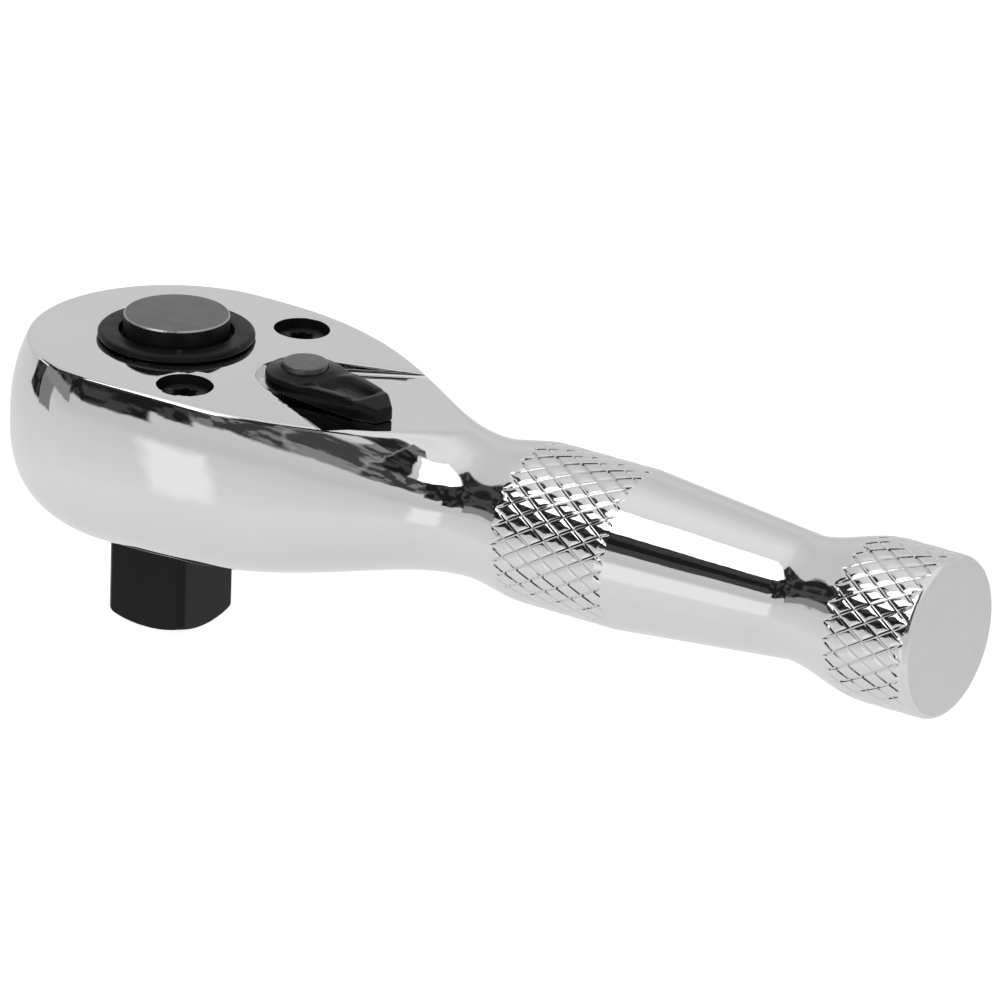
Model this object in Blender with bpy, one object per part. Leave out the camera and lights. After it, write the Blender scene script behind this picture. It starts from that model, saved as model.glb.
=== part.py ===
"""Stubby 3/8 inch pear-head ratchet wrench with a quick-release square drive.

Frame: metres, +Z up. The origin is the centre of the square drive's end face, +Z runs up the
drive axis through the head, and +X runs along the handle. Dimensions below are in millimetres.
Names that end in _Z are heights above the drive's end face.
"""

from math import acos, atan2, cos, hypot, pi, radians, sin

import bmesh
import bpy
from mathutils import Matrix, Vector

MM = 0.001
FIT_GAP = 0.3
CLOSE_GAP = 0.12
MERGE = 1e-6
OVERCUT = 1.0
EDGE = 0.3

# Head and handle
HEAD_TOP_Z = 30.9
HEAD_BOTTOM_Z = HEAD_TOP_Z - 19.3
HEAD_CENTRE_Z = HEAD_TOP_Z - 8.4
HANDLE_AXIS_Z = HEAD_TOP_Z - 8.97
HEAD_R = 16.92
HEAD_UPPER = 17.2
HEAD_LOWER = 12.27
HEAD_UPPER_POWER = 2.17
HEAD_LOWER_POWER = 2.8
TOP_SLOPE_START = 8.0
TOP_SLOPE = 0.067
TOP_SLOPE_DROP = 1.35
NECK_X = 39.0
NECK_R = 7.3
NECK_PLAN_POWER = 1.45
NECK_DEPTH_POWER = 1.6
HEAD_SHAPE_END = (14.0, 36.0)
FRONT_BAND = (46.0, 57.0, 8.25)
WAIST_X = 76.5
WAIST_R = 6.35
REAR_BAND = (86.0, 92.4, 8.28)
FOOT_FACET = radians(6.5)
HANDLE_END_X = 93.2
END_FACE_R = 7.75

# Drive
SQUARE = 9.53
SQUARE_CORNER_R = 6.35
SQUARE_CHAMFER = 1.2
SQUARE_END_SCALE = 1 - 0.9 / SQUARE_CORNER_R
TEETH = 72
GEAR_TIP_R = 10.5
TOOTH_DEPTH = 0.45
GEAR_Z = (HEAD_TOP_Z - 15.6, HEAD_TOP_Z - 5.4)
HUB_R = 7.2
HUB_BOTTOM_Z = HEAD_BOTTOM_Z - 0.3
SPINDLE_R = 7.35
SPINDLE_NECK_R = 6.85
SPINDLE_NECK_Z = HEAD_TOP_Z - 1.2
BUTTON_WELL_R = 6.4
BUTTON_WELL_Z = HEAD_TOP_Z - 8.0
PIN_BORE_R = 1.75
PIN_BORE_Z = 1.5
COLLAR_R = (5.95, 8.1)
COLLAR_Z = (HEAD_TOP_Z + 0.3, HEAD_TOP_Z + 0.85)
COLLAR_SKIRT_R = (7.05, 7.42)
WASHER_OUTER_R = 10.2
WASHER_THICKNESS = 0.6

# Quick release
BUTTON_R = 5.5
BUTTON_TOP_Z = HEAD_TOP_Z + 2.63
BUTTON_CHAMFER = 0.21
BUTTON_FLANGE_R = 6.15
BUTTON_FLANGE_Z = (HEAD_TOP_Z - 1.5, HEAD_TOP_Z - 0.05)
PIN_R = 1.5
PIN_NECK_R = 0.55
PIN_TOP_Z = HEAD_TOP_Z + 0.6
PIN_SOCKET_GAP = 0.15
BALL_R = 1.98
BALL_Z = 5.5
PIN_STEPS = (4.0, 3.1, 1.7, -0.8)
BALL_PROUD = 0.9
BALL_HOLE_R = 2.15
BALL_HOLE_START = 0.6
BALL_HOLE_END = 8.0
PIN_BOTTOM_Z = BALL_Z - 1.5
RELEASE_COIL_R = 3.4
RELEASE_WIRE_R = 0.35
RELEASE_TURNS = 4

# Head cavities and cover plate
HEAD_BORE_R = 7.75
POCKET_R = 10.8
POCKET_TOP_Z = HEAD_TOP_Z - 3.9
PLATE_SEAT_Z = HEAD_TOP_Z - 16.2
PLATE_NOSE_R = 12.9
PLATE_LOBE_R = 2.4
PLATE_TAIL = (17.5, 6.6)
SCREW_X = 8.5
SCREW_Y = 10.28
SCREW_HEAD_R = 2.7
SCREW_SEAT_R = 2.885
SCREW_SEAT_Z = HEAD_TOP_Z - 2.7
SCREW_HEAD_TOP_Z = HEAD_TOP_Z - 0.9
SCREW_SHANK_R = 1.4
SCREW_CLEAR_R = 1.7
SCREW_END_Z = HEAD_BOTTOM_Z + 1.9
SCREW_THREAD_GAP = 0.2
SCREW_SOCKET_R = 1.2
SCREW_SOCKET_LOBE = 0.2
SCREW_SOCKET_DEPTH = 1.1

# Seal grooves as (low, high, depth) and O-rings as (ring radius, wire radius, height)
SPINDLE_GROOVE = (HEAD_TOP_Z - 3.2, HEAD_TOP_Z - 2.1, 0.85)
HUB_GROOVE = (HEAD_BOTTOM_Z + 1.0, HEAD_BOTTOM_Z + 2.0, 0.8)
LEVER_GROOVE = (HEAD_TOP_Z - 3.35, HEAD_TOP_Z - 2.45, 0.8)
SPINDLE_SEAL = (HEAD_BORE_R + 0.28, 0.42, HEAD_TOP_Z - 2.65)
HUB_SEAL = (HUB_R + 0.68, 0.38, HEAD_BOTTOM_Z + 1.5)

# Reversing lever and pawl, both turning about the lever axis
LEVER_X = 16.1
LEVER_REST = radians(-17.0)
PAWL_REST = radians(-2.5)
LEVER_CAP_R = 2.32
LEVER_CAP_Z = HEAD_TOP_Z + 1.25
LEVER_CAP_EDGE = 0.15
LEVER_HUB_R = 4.05
LEVER_SHOULDER = (10.9, 2.25)
LEVER_TIP = (12.9, 1.1)
LEVER_Z = (HEAD_TOP_Z - 1.2, HEAD_TOP_Z + 0.75)
LEVER_DISH = (3.5, 1.75, 0.95)
LEVER_DISH_U = 7.2
LEVER_SEAL = (LEVER_CAP_R + 0.6, 0.34, HEAD_TOP_Z - 2.9)
LEVER_WELL_R = 5.0
LEVER_WELL_SPREAD = radians(25.5)
LEVER_WELL_END = 26.0
LEVER_WELL_FLOOR = (HEAD_TOP_Z - 1.9, HEAD_TOP_Z - 1.5)
LEVER_CAM_R = 3.0
LEVER_CAM_Z = (HEAD_TOP_Z - 15.5, HEAD_TOP_Z - 4.2)
PAWL_Z = (HEAD_TOP_Z - 15.3, HEAD_TOP_Z - 6.4)
PAWL_HUB_R = 5.1
PAWL_HOLE_R = 3.35
PAWL_OUTER_R = 13.6
PAWL_WAIST_R = 11.15
PAWL_PAD = (radians(23.5), radians(38.5))
PAWL_TOOTH_GAP = 0.25
PAWL_NOTCH = (0.55, 0.4)
PAWL_NOTCH_END = radians(38.0)
PAWL_POCKET_GAP = (0.4, 0.9)
PAWL_POCKET_NOSE = 4.0
PAWL_WASHER = (0.9, 4.9, 0.35)
PLUNGER_R = 0.95
PLUNGER_TIP = 3.7
PLUNGER_TAIL = 1.2
PLUNGER_BORE_R = 1.15
PLUNGER_BORE_START = -1.7
PLUNGER_BORE_END = 5.0
PLUNGER_Z = HEAD_TOP_Z - 10.8
LEVER_COIL_R = 0.62
LEVER_WIRE_R = 0.18
LEVER_COIL_ENDS = (-1.55, PLUNGER_TAIL - 0.65)
LEVER_TURNS = 3.5


def clear_scene():
    for old in list(bpy.data.objects):
        bpy.data.objects.remove(old, do_unlink=True)


def material(name, colour, roughness, metallic):
    made = bpy.data.materials.new(name)
    made.use_nodes = True
    shader = made.node_tree.nodes["Principled BSDF"]
    shader.inputs["Base Color"].default_value = (*colour, 1.0)
    shader.inputs["Roughness"].default_value = roughness
    shader.inputs["Metallic"].default_value = metallic
    made.diffuse_color = (*colour, 1.0)
    return made


def joint_empty(name, x=0.0, turn=0.0):
    """An empty on a vertical joint axis at x, turned to the joint's rest angle."""
    empty = bpy.data.objects.new(name, None)
    bpy.context.scene.collection.objects.link(empty)
    empty.location = (x * MM, 0.0, 0.0)
    empty.rotation_euler = (0.0, 0.0, turn)
    return empty


def finished(bm, name, parent=None):
    """Turns a bmesh in millimetres into an object in metres with outward normals."""
    bmesh.ops.scale(bm, vec=(MM, MM, MM), verts=bm.verts)
    bmesh.ops.remove_doubles(bm, verts=bm.verts, dist=MERGE)
    bmesh.ops.recalc_face_normals(bm, faces=bm.faces)
    mesh = bpy.data.meshes.new(name)
    bm.to_mesh(mesh)
    bm.free()
    made = bpy.data.objects.new(name, mesh)
    bpy.context.scene.collection.objects.link(made)
    made.parent = parent
    return made


def piece(bm, name, look, parent=None):
    made = finished(bm, name, parent)
    made.data.materials.append(look)
    made.data.shade_smooth()
    made.data.set_sharp_from_angle(angle=radians(30))
    return made


def cut(target, bm, label, operation="DIFFERENCE"):
    """Adds a Boolean of a hidden cutter that shares the target's parent."""
    tool = finished(bm, f"{target.name}.{label}", target.parent)
    tool.hide_render = True
    tool.display_type = "WIRE"
    step = target.modifiers.new(label, "BOOLEAN")
    step.operation = operation
    step.solver = "EXACT"
    step.object = tool


def arc(radius, start, end, steps, centre=(0.0, 0.0)):
    """Points on an arc, both ends included; angles in radians."""
    angles = [start + (end - start) * i / steps for i in range(steps + 1)]
    return [(centre[0] + radius * cos(a), centre[1] + radius * sin(a)) for a in angles]


def circle(radius, steps, centre=(0.0, 0.0)):
    return arc(radius, 0.0, 2 * pi, steps, centre)[:-1]


def stacked(loops):
    """A closed solid from equal horizontal loops of 3-D points, with its first and last filled."""
    bm = bmesh.new()
    rings = [[bm.verts.new(p) for p in loop] for loop in loops]
    count = len(rings[0])
    for low, high in zip(rings, rings[1:]):
        for i in range(count):
            j = (i + 1) % count
            bm.faces.new((low[i], low[j], high[j], high[i]))
    bm.faces.new(rings[0])
    bm.faces.new(rings[-1])
    return bm


def prism(outline, bottom, top):
    return stacked([[(x, y, z) for x, y in outline] for z in (bottom, top)])


def turned(profile, steps, centre=(0.0, 0.0)):
    """A solid of revolution about a vertical axis, from a closed loop of (radius, z) points."""
    bm = bmesh.new()
    rings = []
    for k in range(steps):
        turn = 2 * pi * k / steps
        ring = [(centre[0] + r * cos(turn), centre[1] + r * sin(turn), z) for r, z in profile]
        rings.append([bm.verts.new(p) for p in ring])
    count = len(profile)
    for k in range(steps):
        here = rings[k]
        after = rings[(k + 1) % steps]
        for i in range(count):
            j = (i + 1) % count
            if profile[i][0] or profile[j][0]:
                bm.faces.new((here[i], after[i], after[j], here[j]))
    return bm


def laid_along(bm, direction, place):
    """Turns a vertical solid so that its +Z points along direction, then moves it to place."""
    turn = Vector((0, 0, 1)).rotation_difference(Vector(direction)).to_matrix().to_4x4()
    bmesh.ops.transform(bm, matrix=Matrix.Translation(place) @ turn, verts=bm.verts)
    return bm


def rod(radius, bottom, top, steps=24, centre=(0.0, 0.0)):
    return turned([(0.0, top), (radius, top), (radius, bottom), (0.0, bottom)], steps, centre)


def torus(ring_r, wire_r, z, steps, sides=8, centre=(0.0, 0.0)):
    profile = [(ring_r + x, z + y) for x, y in circle(wire_r, sides)]
    return turned(profile, steps, centre)


def coil(ring_r, wire_r, bottom, top, turns, steps=14, sides=6):
    """A helical wire whose outside reaches from bottom to top."""
    low = bottom + wire_r
    rise = top - wire_r - low
    count = round(turns * steps)
    loops = []
    for k in range(count + 1):
        turn = 2 * pi * turns * k / count
        z = low + rise * k / count
        ring = [(ring_r + a, b) for a, b in circle(wire_r, sides)]
        loops.append([(r * cos(turn), r * sin(turn), z + dz) for r, dz in ring])
    return stacked(loops)


def hull(circles, steps=48):
    """The convex outline round several (x, y, radius) circles, by support along each direction."""
    outline = []
    for k in range(steps):
        turn = 2 * pi * k / steps
        x, y, r = max(circles, key=lambda c: c[0] * cos(turn) + c[1] * sin(turn) + c[2])
        outline.append((x + r * cos(turn), y + r * sin(turn)))
    return outline


def smooth(low, high, x):
    t = min(max((x - low) / (high - low), 0.0), 1.0)
    return t * t * (3 - 2 * t)


def fall(x, power):
    """1 at the drive axis, 0 at the neck, along half a cosine wave."""
    t = min(max(x / NECK_X, 0.0), 1.0)
    return 0.5 + 0.5 * cos(pi * t**power)


def handle_radius(x):
    front_x, front_end, front_r = FRONT_BAND
    rear_x, rear_end, rear_r = REAR_BAND
    if x <= front_end:
        return NECK_R + (front_r - NECK_R) * smooth(NECK_X, front_x, x)
    if x <= WAIST_X:
        return front_r + (WAIST_R - front_r) * (x - front_end) / (WAIST_X - front_end)
    if x <= rear_end:
        return WAIST_R + (rear_r - WAIST_R) * smooth(WAIST_X, rear_x, x)
    t = (x - rear_end) / (HANDLE_END_X - rear_end)
    return END_FACE_R + (rear_r - END_FACE_R) * (1 - t * t) ** 0.5


def section(x):
    """Half-width, upper and lower height, their powers, and the centre height at x."""
    if x >= NECK_X:
        r = handle_radius(x)
        return r, r, r, 2.0, 2.0, HANDLE_AXIS_Z
    plan = fall(x, NECK_PLAN_POWER)
    depth = fall(x, NECK_DEPTH_POWER)
    head = 1 - smooth(*HEAD_SHAPE_END, x)
    return (
        NECK_R + (HEAD_R - NECK_R) * plan,
        NECK_R + (HEAD_UPPER - NECK_R) * plan,
        NECK_R + (HEAD_LOWER - NECK_R) * depth,
        2 + (HEAD_UPPER_POWER - 2) * head,
        2 + (HEAD_LOWER_POWER - 2) * head,
        HANDLE_AXIS_Z + (HEAD_CENTRE_Z - HANDLE_AXIS_Z) * head,
    )


def top_height(x):
    """Height of the flat that is milled across the head's top; it dips towards the neck."""
    drop = min(max(x - TOP_SLOPE_START, 0.0) * TOP_SLOPE, TOP_SLOPE_DROP)
    return HEAD_TOP_Z - drop if x < NECK_X else HEAD_TOP_Z + 1


def half_profile(x, flat_steps=3, side_steps=12, floor_steps=3):
    """Half of the cross-section at x as (distance from the middle, z), top to bottom.

    Past the drive axis it stops short of the bottom, so the handle rests on a narrow facet.
    """
    width, upper, lower, power_up, power_low, centre = section(x)
    crest = min(((top_height(x) - centre) / upper) ** (power_up / 2), sin(radians(60)))
    top_edge = pi / 2 - acos(crest)
    foot = min(((centre - HEAD_BOTTOM_Z) / lower) ** (power_low / 2), sin(radians(70)))
    low_edge = acos(foot) - pi / 2
    stops = [(pi / 2, top_edge, flat_steps), (top_edge, low_edge, side_steps)]
    bottom = FOOT_FACET * smooth(0.0, HEAD_SHAPE_END[0], x) - pi / 2
    stops.append((low_edge, bottom, floor_steps))
    angles = [a + (b - a) * i / n for a, b, n in stops for i in range(n)] + [bottom]
    points = []
    for angle in angles:
        high = angle > 0
        power = power_up if high else power_low
        reach = abs(cos(angle)) ** (2 / power) * width
        rise = abs(sin(angle)) ** (2 / power) * (upper if high else -lower)
        z = min(max(centre + rise, HEAD_BOTTOM_Z), top_height(x))
        points.append((0.0 if abs(angle) == pi / 2 else reach, z))
    return points


def evenly(start, end, steps):
    return [start + (end - start) * i / steps for i in range(steps + 1)]


def body_form():
    """The forged outside: a half-round nose, the pear head and the turned handle in one skin."""
    stations = evenly(0, 28, 11) + evenly(30.5, FRONT_BAND[0], 7) + evenly(*FRONT_BAND[:2], 2)[1:]
    stations += evenly(FRONT_BAND[1], WAIST_X, 5)[1:] + evenly(WAIST_X, REAR_BAND[0], 7)[1:]
    stations += [REAR_BAND[1], REAR_BAND[1] + 0.45, HANDLE_END_X - 0.08, HANDLE_END_X]
    bm = bmesh.new()
    strips = []
    for side in (1, -1):
        rows = [[(x, side * d, z) for d, z in half_profile(x)] for x in stations]
        rows.append([(HANDLE_END_X, 0.0, HANDLE_AXIS_Z)] * len(rows[0]))
        strips.append(rows)
    strips.append([(right[-1], left[-1]) for right, left in zip(*strips)])
    nose_steps = 26
    nose = half_profile(0.0)
    turns = [pi / 2 + pi * i / nose_steps for i in range(nose_steps + 1)]
    strips.append([[(d * cos(a), d * sin(a), z) for d, z in nose] for a in turns])
    for rows in strips:
        grid = [[bm.verts.new(p) for p in row] for row in rows]
        for row, after in zip(grid, grid[1:]):
            for i in range(len(row) - 1):
                bm.faces.new((row[i], row[i + 1], after[i + 1], after[i]))
    return bm


def plate_outline(grow=0.0):
    circles = [(0.0, 0.0, PLATE_NOSE_R + grow), (PLATE_TAIL[0], 0.0, PLATE_TAIL[1] + grow)]
    circles += [(SCREW_X, side * SCREW_Y, PLATE_LOBE_R + grow) for side in (1, -1)]
    return hull(circles, 72)


def gear_outline(tip, root, start=0.0, end=2 * pi):
    """Tooth tips and roots as points, from the angle start to the angle end."""
    pitch = pi / TEETH
    first = round(start / pitch)
    count = round((end - start) / pitch)
    points = []
    for k in range(first, first + count):
        r = root if k % 2 else tip
        points.append((r * cos(k * pitch), r * sin(k * pitch)))
    return points


def grooved_bore(radius, top, bottom, groove):
    """A stepped bore from the axis out, from its open top down to its bottom edge."""
    low, high, depth = groove
    return [
        (0.0, top),
        (radius, top),
        (radius, high),
        (radius + depth, high),
        (radius + depth, low),
        (radius, low),
        (radius, bottom),
    ]


def drive_bore_profile():
    """The head's bore on the drive axis: spindle hole, seal groove and gear pocket."""
    profile = grooved_bore(HEAD_BORE_R, HEAD_TOP_Z + OVERCUT, POCKET_TOP_Z, SPINDLE_GROOVE)
    low = PLATE_SEAT_Z - OVERCUT
    return profile + [(POCKET_R, POCKET_TOP_Z), (POCKET_R, low), (0.0, low)]


def lever_bore_profile():
    """The lever shaft's hole through the head's top wall, with its seal groove."""
    low = POCKET_TOP_Z - OVERCUT
    profile = grooved_bore(LEVER_CAP_R + FIT_GAP, HEAD_TOP_Z + OVERCUT, low, LEVER_GROOVE)
    return profile + [(0.0, low)]


def pawl_pocket_outline():
    pad_gap, hub_gap = PAWL_POCKET_GAP
    reach = PAWL_OUTER_R + pad_gap
    corner = PAWL_PAD[1] + radians(2)
    tail = PAWL_HUB_R + hub_gap
    nose = PAWL_POCKET_NOSE
    upper = (reach * cos(corner), reach * sin(corner))
    lower = (upper[0], -upper[1])
    return hull([(LEVER_X, 0.0, tail), (*upper, 0.0), (*lower, 0.0), (nose, 0.0, nose)], 60)


def lever_well():
    """The fan-shaped well round the lever; its floor rises gently until it leaves the neck."""
    edge = LEVER_WELL_SPREAD
    outline = arc(LEVER_WELL_R, pi / 2 + edge, 3 * pi / 2 - edge, 18, (LEVER_X, 0.0))
    far = LEVER_X + LEVER_WELL_END
    spread = LEVER_WELL_R / cos(edge) + LEVER_WELL_END * sin(edge) / cos(edge)
    outline += [(far, -spread), (far, spread)]
    run = far - (LEVER_X - LEVER_WELL_R)
    low, high = LEVER_WELL_FLOOR
    floor = [(x, y, low + (high - low) * (x - far + run) / run) for x, y in outline]
    return stacked([floor, [(x, y, HEAD_TOP_Z + OVERCUT) for x, y in outline]])


def make_body(look):
    body = piece(body_form(), "body", look)
    below = HEAD_BOTTOM_Z - OVERCUT
    cut(body, prism(plate_outline(FIT_GAP), below, PLATE_SEAT_Z), "plate_recess")
    cut(body, turned(drive_bore_profile(), 64), "drive_bore")
    low = PLATE_SEAT_Z - OVERCUT
    cut(body, prism(pawl_pocket_outline(), low, POCKET_TOP_Z), "pawl_pocket")
    cut(body, lever_well(), "lever_well")
    cut(body, turned(lever_bore_profile(), 32, (LEVER_X, 0.0)), "lever_bore")
    for side, place in (("left", SCREW_Y), ("right", -SCREW_Y)):
        profile = [
            (0.0, HEAD_TOP_Z + OVERCUT),
            (SCREW_SEAT_R, HEAD_TOP_Z + OVERCUT),
            (SCREW_SEAT_R, SCREW_SEAT_Z),
            (SCREW_CLEAR_R, SCREW_SEAT_Z),
            (SCREW_CLEAR_R, low),
            (0.0, low),
        ]
        cut(body, turned(profile, 32, (SCREW_X, place)), f"screw_hole_{side}")
    return body


def make_cover_plate(look):
    """The plate is the lower slice of the head's own form, so its rim follows the dome."""
    plate = piece(body_form(), "cover_plate", look)
    low = HEAD_BOTTOM_Z - OVERCUT
    high = PLATE_SEAT_Z + OVERCUT
    slab = prism(plate_outline(), low, PLATE_SEAT_Z - CLOSE_GAP)
    cut(plate, slab, "outline", "INTERSECT")
    profile = grooved_bore(HUB_R + FIT_GAP, high, low, HUB_GROOVE) + [(0.0, low)]
    cut(plate, turned(profile, 48), "hub_bore")
    for side, place in (("left", SCREW_Y), ("right", -SCREW_Y)):
        hole = rod(SCREW_SHANK_R + SCREW_THREAD_GAP, low, high, 24, (SCREW_X, place))
        cut(plate, hole, f"screw_hole_{side}")
    return plate


def make_screw(name, y, look):
    """A socket screw: a low round head with a six-point socket, on a shank into the plate."""
    seat = SCREW_SEAT_Z + CLOSE_GAP
    profile = [
        (0.0, SCREW_HEAD_TOP_Z),
        (SCREW_HEAD_R - EDGE, SCREW_HEAD_TOP_Z),
        (SCREW_HEAD_R, SCREW_HEAD_TOP_Z - EDGE),
        (SCREW_HEAD_R, seat),
        (SCREW_SHANK_R, seat),
        (SCREW_SHANK_R, SCREW_END_Z + EDGE),
        (SCREW_SHANK_R - EDGE, SCREW_END_Z),
        (0.0, SCREW_END_Z),
    ]
    screw = piece(turned(profile, 28, (SCREW_X, y)), name, look)
    socket = []
    for k in range(24):
        turn = 2 * pi * k / 24
        r = SCREW_SOCKET_R + SCREW_SOCKET_LOBE * cos(6 * turn)
        socket.append((SCREW_X + r * cos(turn), y + r * sin(turn)))
    floor = SCREW_HEAD_TOP_Z - SCREW_SOCKET_DEPTH
    cut(screw, prism(socket, floor, SCREW_HEAD_TOP_Z + OVERCUT), "socket")
    return screw


def square_outline(half, corner_r):
    """A square whose corners are turned off at corner_r."""
    start = acos(min(half / corner_r, 1.0))
    points = []
    for k in range(4):
        points += arc(corner_r, k * pi / 2 + start, (k + 1) * pi / 2 - start, 4)
    return points


def make_drive_gear(look, parent):
    """One forging: square drive, hub through the plate, ratchet wheel and hollow spindle."""
    half = SQUARE / 2
    loops = []
    outline = square_outline(half, SQUARE_CORNER_R)
    for z, scale in ((0.0, SQUARE_END_SCALE), (SQUARE_CHAMFER, 1.0), (HUB_BOTTOM_Z + 1, 1.0)):
        loops.append([(x * scale, y * scale, z) for x, y in outline])
    drive = piece(stacked(loops), "drive_gear", look, parent)
    spindle = [
        (0.0, HEAD_TOP_Z),
        (SPINDLE_NECK_R, HEAD_TOP_Z),
        (SPINDLE_NECK_R, SPINDLE_NECK_Z),
        (SPINDLE_R, SPINDLE_NECK_Z),
        (SPINDLE_R, GEAR_Z[1] - 1),
        (HUB_R, GEAR_Z[0] + 1),
        (HUB_R, HUB_BOTTOM_Z + EDGE),
        (HUB_R - EDGE, HUB_BOTTOM_Z),
        (0.0, HUB_BOTTOM_Z),
    ]
    cut(drive, turned(spindle, 48), "spindle", "UNION")
    wheel = gear_outline(GEAR_TIP_R, GEAR_TIP_R - TOOTH_DEPTH)
    cut(drive, prism(wheel, *GEAR_Z), "wheel", "UNION")
    bore = [
        (0.0, HEAD_TOP_Z + OVERCUT),
        (BUTTON_WELL_R, HEAD_TOP_Z + OVERCUT),
        (BUTTON_WELL_R, BUTTON_WELL_Z),
        (PIN_BORE_R, BUTTON_WELL_Z),
        (PIN_BORE_R, PIN_BORE_Z),
        (0.0, PIN_BORE_Z),
    ]
    cut(drive, turned(bore, 40), "release_bore")
    hole = rod(BALL_HOLE_R, BALL_HOLE_START, BALL_HOLE_END)
    laid_along(hole, (-1, 0, 0), (0, 0, BALL_Z))
    cut(drive, hole, "ball_hole")
    return drive


def make_collar(look, parent):
    """The ring pressed over the spindle's top, which keeps the button in."""
    inner, outer = COLLAR_R
    low, high = COLLAR_Z
    skirt_in, skirt_out = COLLAR_SKIRT_R
    foot = SPINDLE_NECK_Z + FIT_GAP
    profile = [
        (inner, high),
        (outer - EDGE, high),
        (outer, high - EDGE),
        (outer, low),
        (skirt_out, low),
        (skirt_out, foot),
        (skirt_in, foot),
        (skirt_in, low),
        (inner, low),
    ]
    return piece(turned(profile, 64), "spindle_collar", look, parent)


def make_washer(look, parent):
    low = GEAR_Z[1] + FIT_GAP
    high = low + WASHER_THICKNESS
    inner = SPINDLE_R + CLOSE_GAP
    profile = [(inner, low), (WASHER_OUTER_R, low), (WASHER_OUTER_R, high), (inner, high)]
    return piece(turned(profile, 40), "thrust_washer", look, parent)


def make_button(look, parent):
    """A round push button with a flange below the collar and a socket for the pin."""
    low, high = BUTTON_FLANGE_Z
    socket_r = PIN_R + PIN_SOCKET_GAP
    socket_top = PIN_TOP_Z + PIN_SOCKET_GAP
    profile = [
        (0.0, BUTTON_TOP_Z),
        (BUTTON_R - BUTTON_CHAMFER, BUTTON_TOP_Z),
        (BUTTON_R, BUTTON_TOP_Z - BUTTON_CHAMFER),
        (BUTTON_R, high),
        (BUTTON_FLANGE_R, high),
        (BUTTON_FLANGE_R, low),
        (socket_r, low),
        (socket_r, socket_top),
        (0.0, socket_top),
    ]
    return piece(turned(profile, 64), "release_button", look, parent)


def make_pin(look, parent):
    """The release pin; its groove lets the ball in when the button comes down."""
    shoulder, neck_top, neck_end, nose = [BALL_Z + step for step in PIN_STEPS]
    profile = [
        (0.0, PIN_TOP_Z),
        (PIN_R, PIN_TOP_Z),
        (PIN_R, shoulder),
        (PIN_NECK_R, neck_top),
        (PIN_NECK_R, neck_end),
        (PIN_R, nose),
        (PIN_R, PIN_BOTTOM_Z + EDGE),
        (PIN_R - EDGE, PIN_BOTTOM_Z),
        (0.0, PIN_BOTTOM_Z),
    ]
    return piece(turned(profile, 24), "release_pin", look, parent)


def make_ball(look, parent):
    reach = SQUARE / 2 + BALL_PROUD - BALL_R
    bm = bmesh.new()
    bmesh.ops.create_icosphere(bm, subdivisions=3, radius=BALL_R)
    bmesh.ops.translate(bm, vec=(-reach, 0, BALL_Z), verts=bm.verts)
    return piece(bm, "detent_ball", look, parent)


def make_release_spring(look, parent):
    top = BUTTON_FLANGE_Z[0] - FIT_GAP
    low = BUTTON_WELL_Z + FIT_GAP
    spring = coil(RELEASE_COIL_R, RELEASE_WIRE_R, low, top, RELEASE_TURNS)
    return piece(spring, "release_spring", look, parent)


def pad_points(side):
    """Pawl teeth that mesh with the wheel once the pawl has rocked to that side."""
    tip = GEAR_TIP_R + PAWL_TOOTH_GAP
    teeth = gear_outline(tip, tip - TOOTH_DEPTH, PAWL_PAD[0], PAWL_PAD[1])
    turn = -PAWL_REST
    points = []
    for x, y in teeth:
        dx = x - LEVER_X
        dy = -y
        px = LEVER_X + dx * cos(turn) - dy * sin(turn)
        py = dx * sin(turn) + dy * cos(turn)
        points.append((px - LEVER_X, -side * py))
    return points if side > 0 else points[::-1]


def tangent_angle(x, y, radius):
    """Direction from the hub's centre to where a line from (x, y) touches the hub."""
    return atan2(y, x) - acos(radius / hypot(x, y))


def pawl_outline():
    """Rocker outline about its own axis: toothed pads either side of a plain waist."""
    end = (PAWL_OUTER_R * cos(PAWL_PAD[1]) - LEVER_X, PAWL_OUTER_R * sin(PAWL_PAD[1]))
    touch = tangent_angle(*end, PAWL_HUB_R)
    waist = PAWL_PAD[0] - radians(2)
    outline = arc(PAWL_WAIST_R, -waist, waist, 10, (-LEVER_X, 0.0))
    outline += pad_points(1)
    outline.append(end)
    outline += arc(PAWL_HUB_R, touch, -touch, 14)
    outline.append((end[0], -end[1]))
    outline += pad_points(-1)
    return outline


def make_pawl(look, parent):
    pawl = piece(prism(pawl_outline(), *PAWL_Z), "pawl", look, parent)
    middle, extra = PAWL_NOTCH
    detent = PAWL_REST - LEVER_REST
    seat = []
    for k in range(72):
        turn = 2 * pi * k / 72
        swing = abs(turn - pi)
        lobe = max(0.0, 1 - abs(swing - detent) / detent)
        r = PAWL_HOLE_R + (middle + extra * lobe if swing < PAWL_NOTCH_END else 0.0)
        seat.append((r * cos(turn), r * sin(turn)))
    cut(pawl, prism(seat, PAWL_Z[0] - OVERCUT, PAWL_Z[1] + OVERCUT), "cam_hole")
    return pawl


def make_pawl_washer(look):
    low = PLATE_SEAT_Z + FIT_GAP - CLOSE_GAP
    inner, outer, thickness = PAWL_WASHER
    high = low + thickness
    profile = [(inner, low), (outer, low), (outer, high), (inner, high)]
    return piece(turned(profile, 28, (LEVER_X, 0.0)), "pawl_washer", look)


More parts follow.
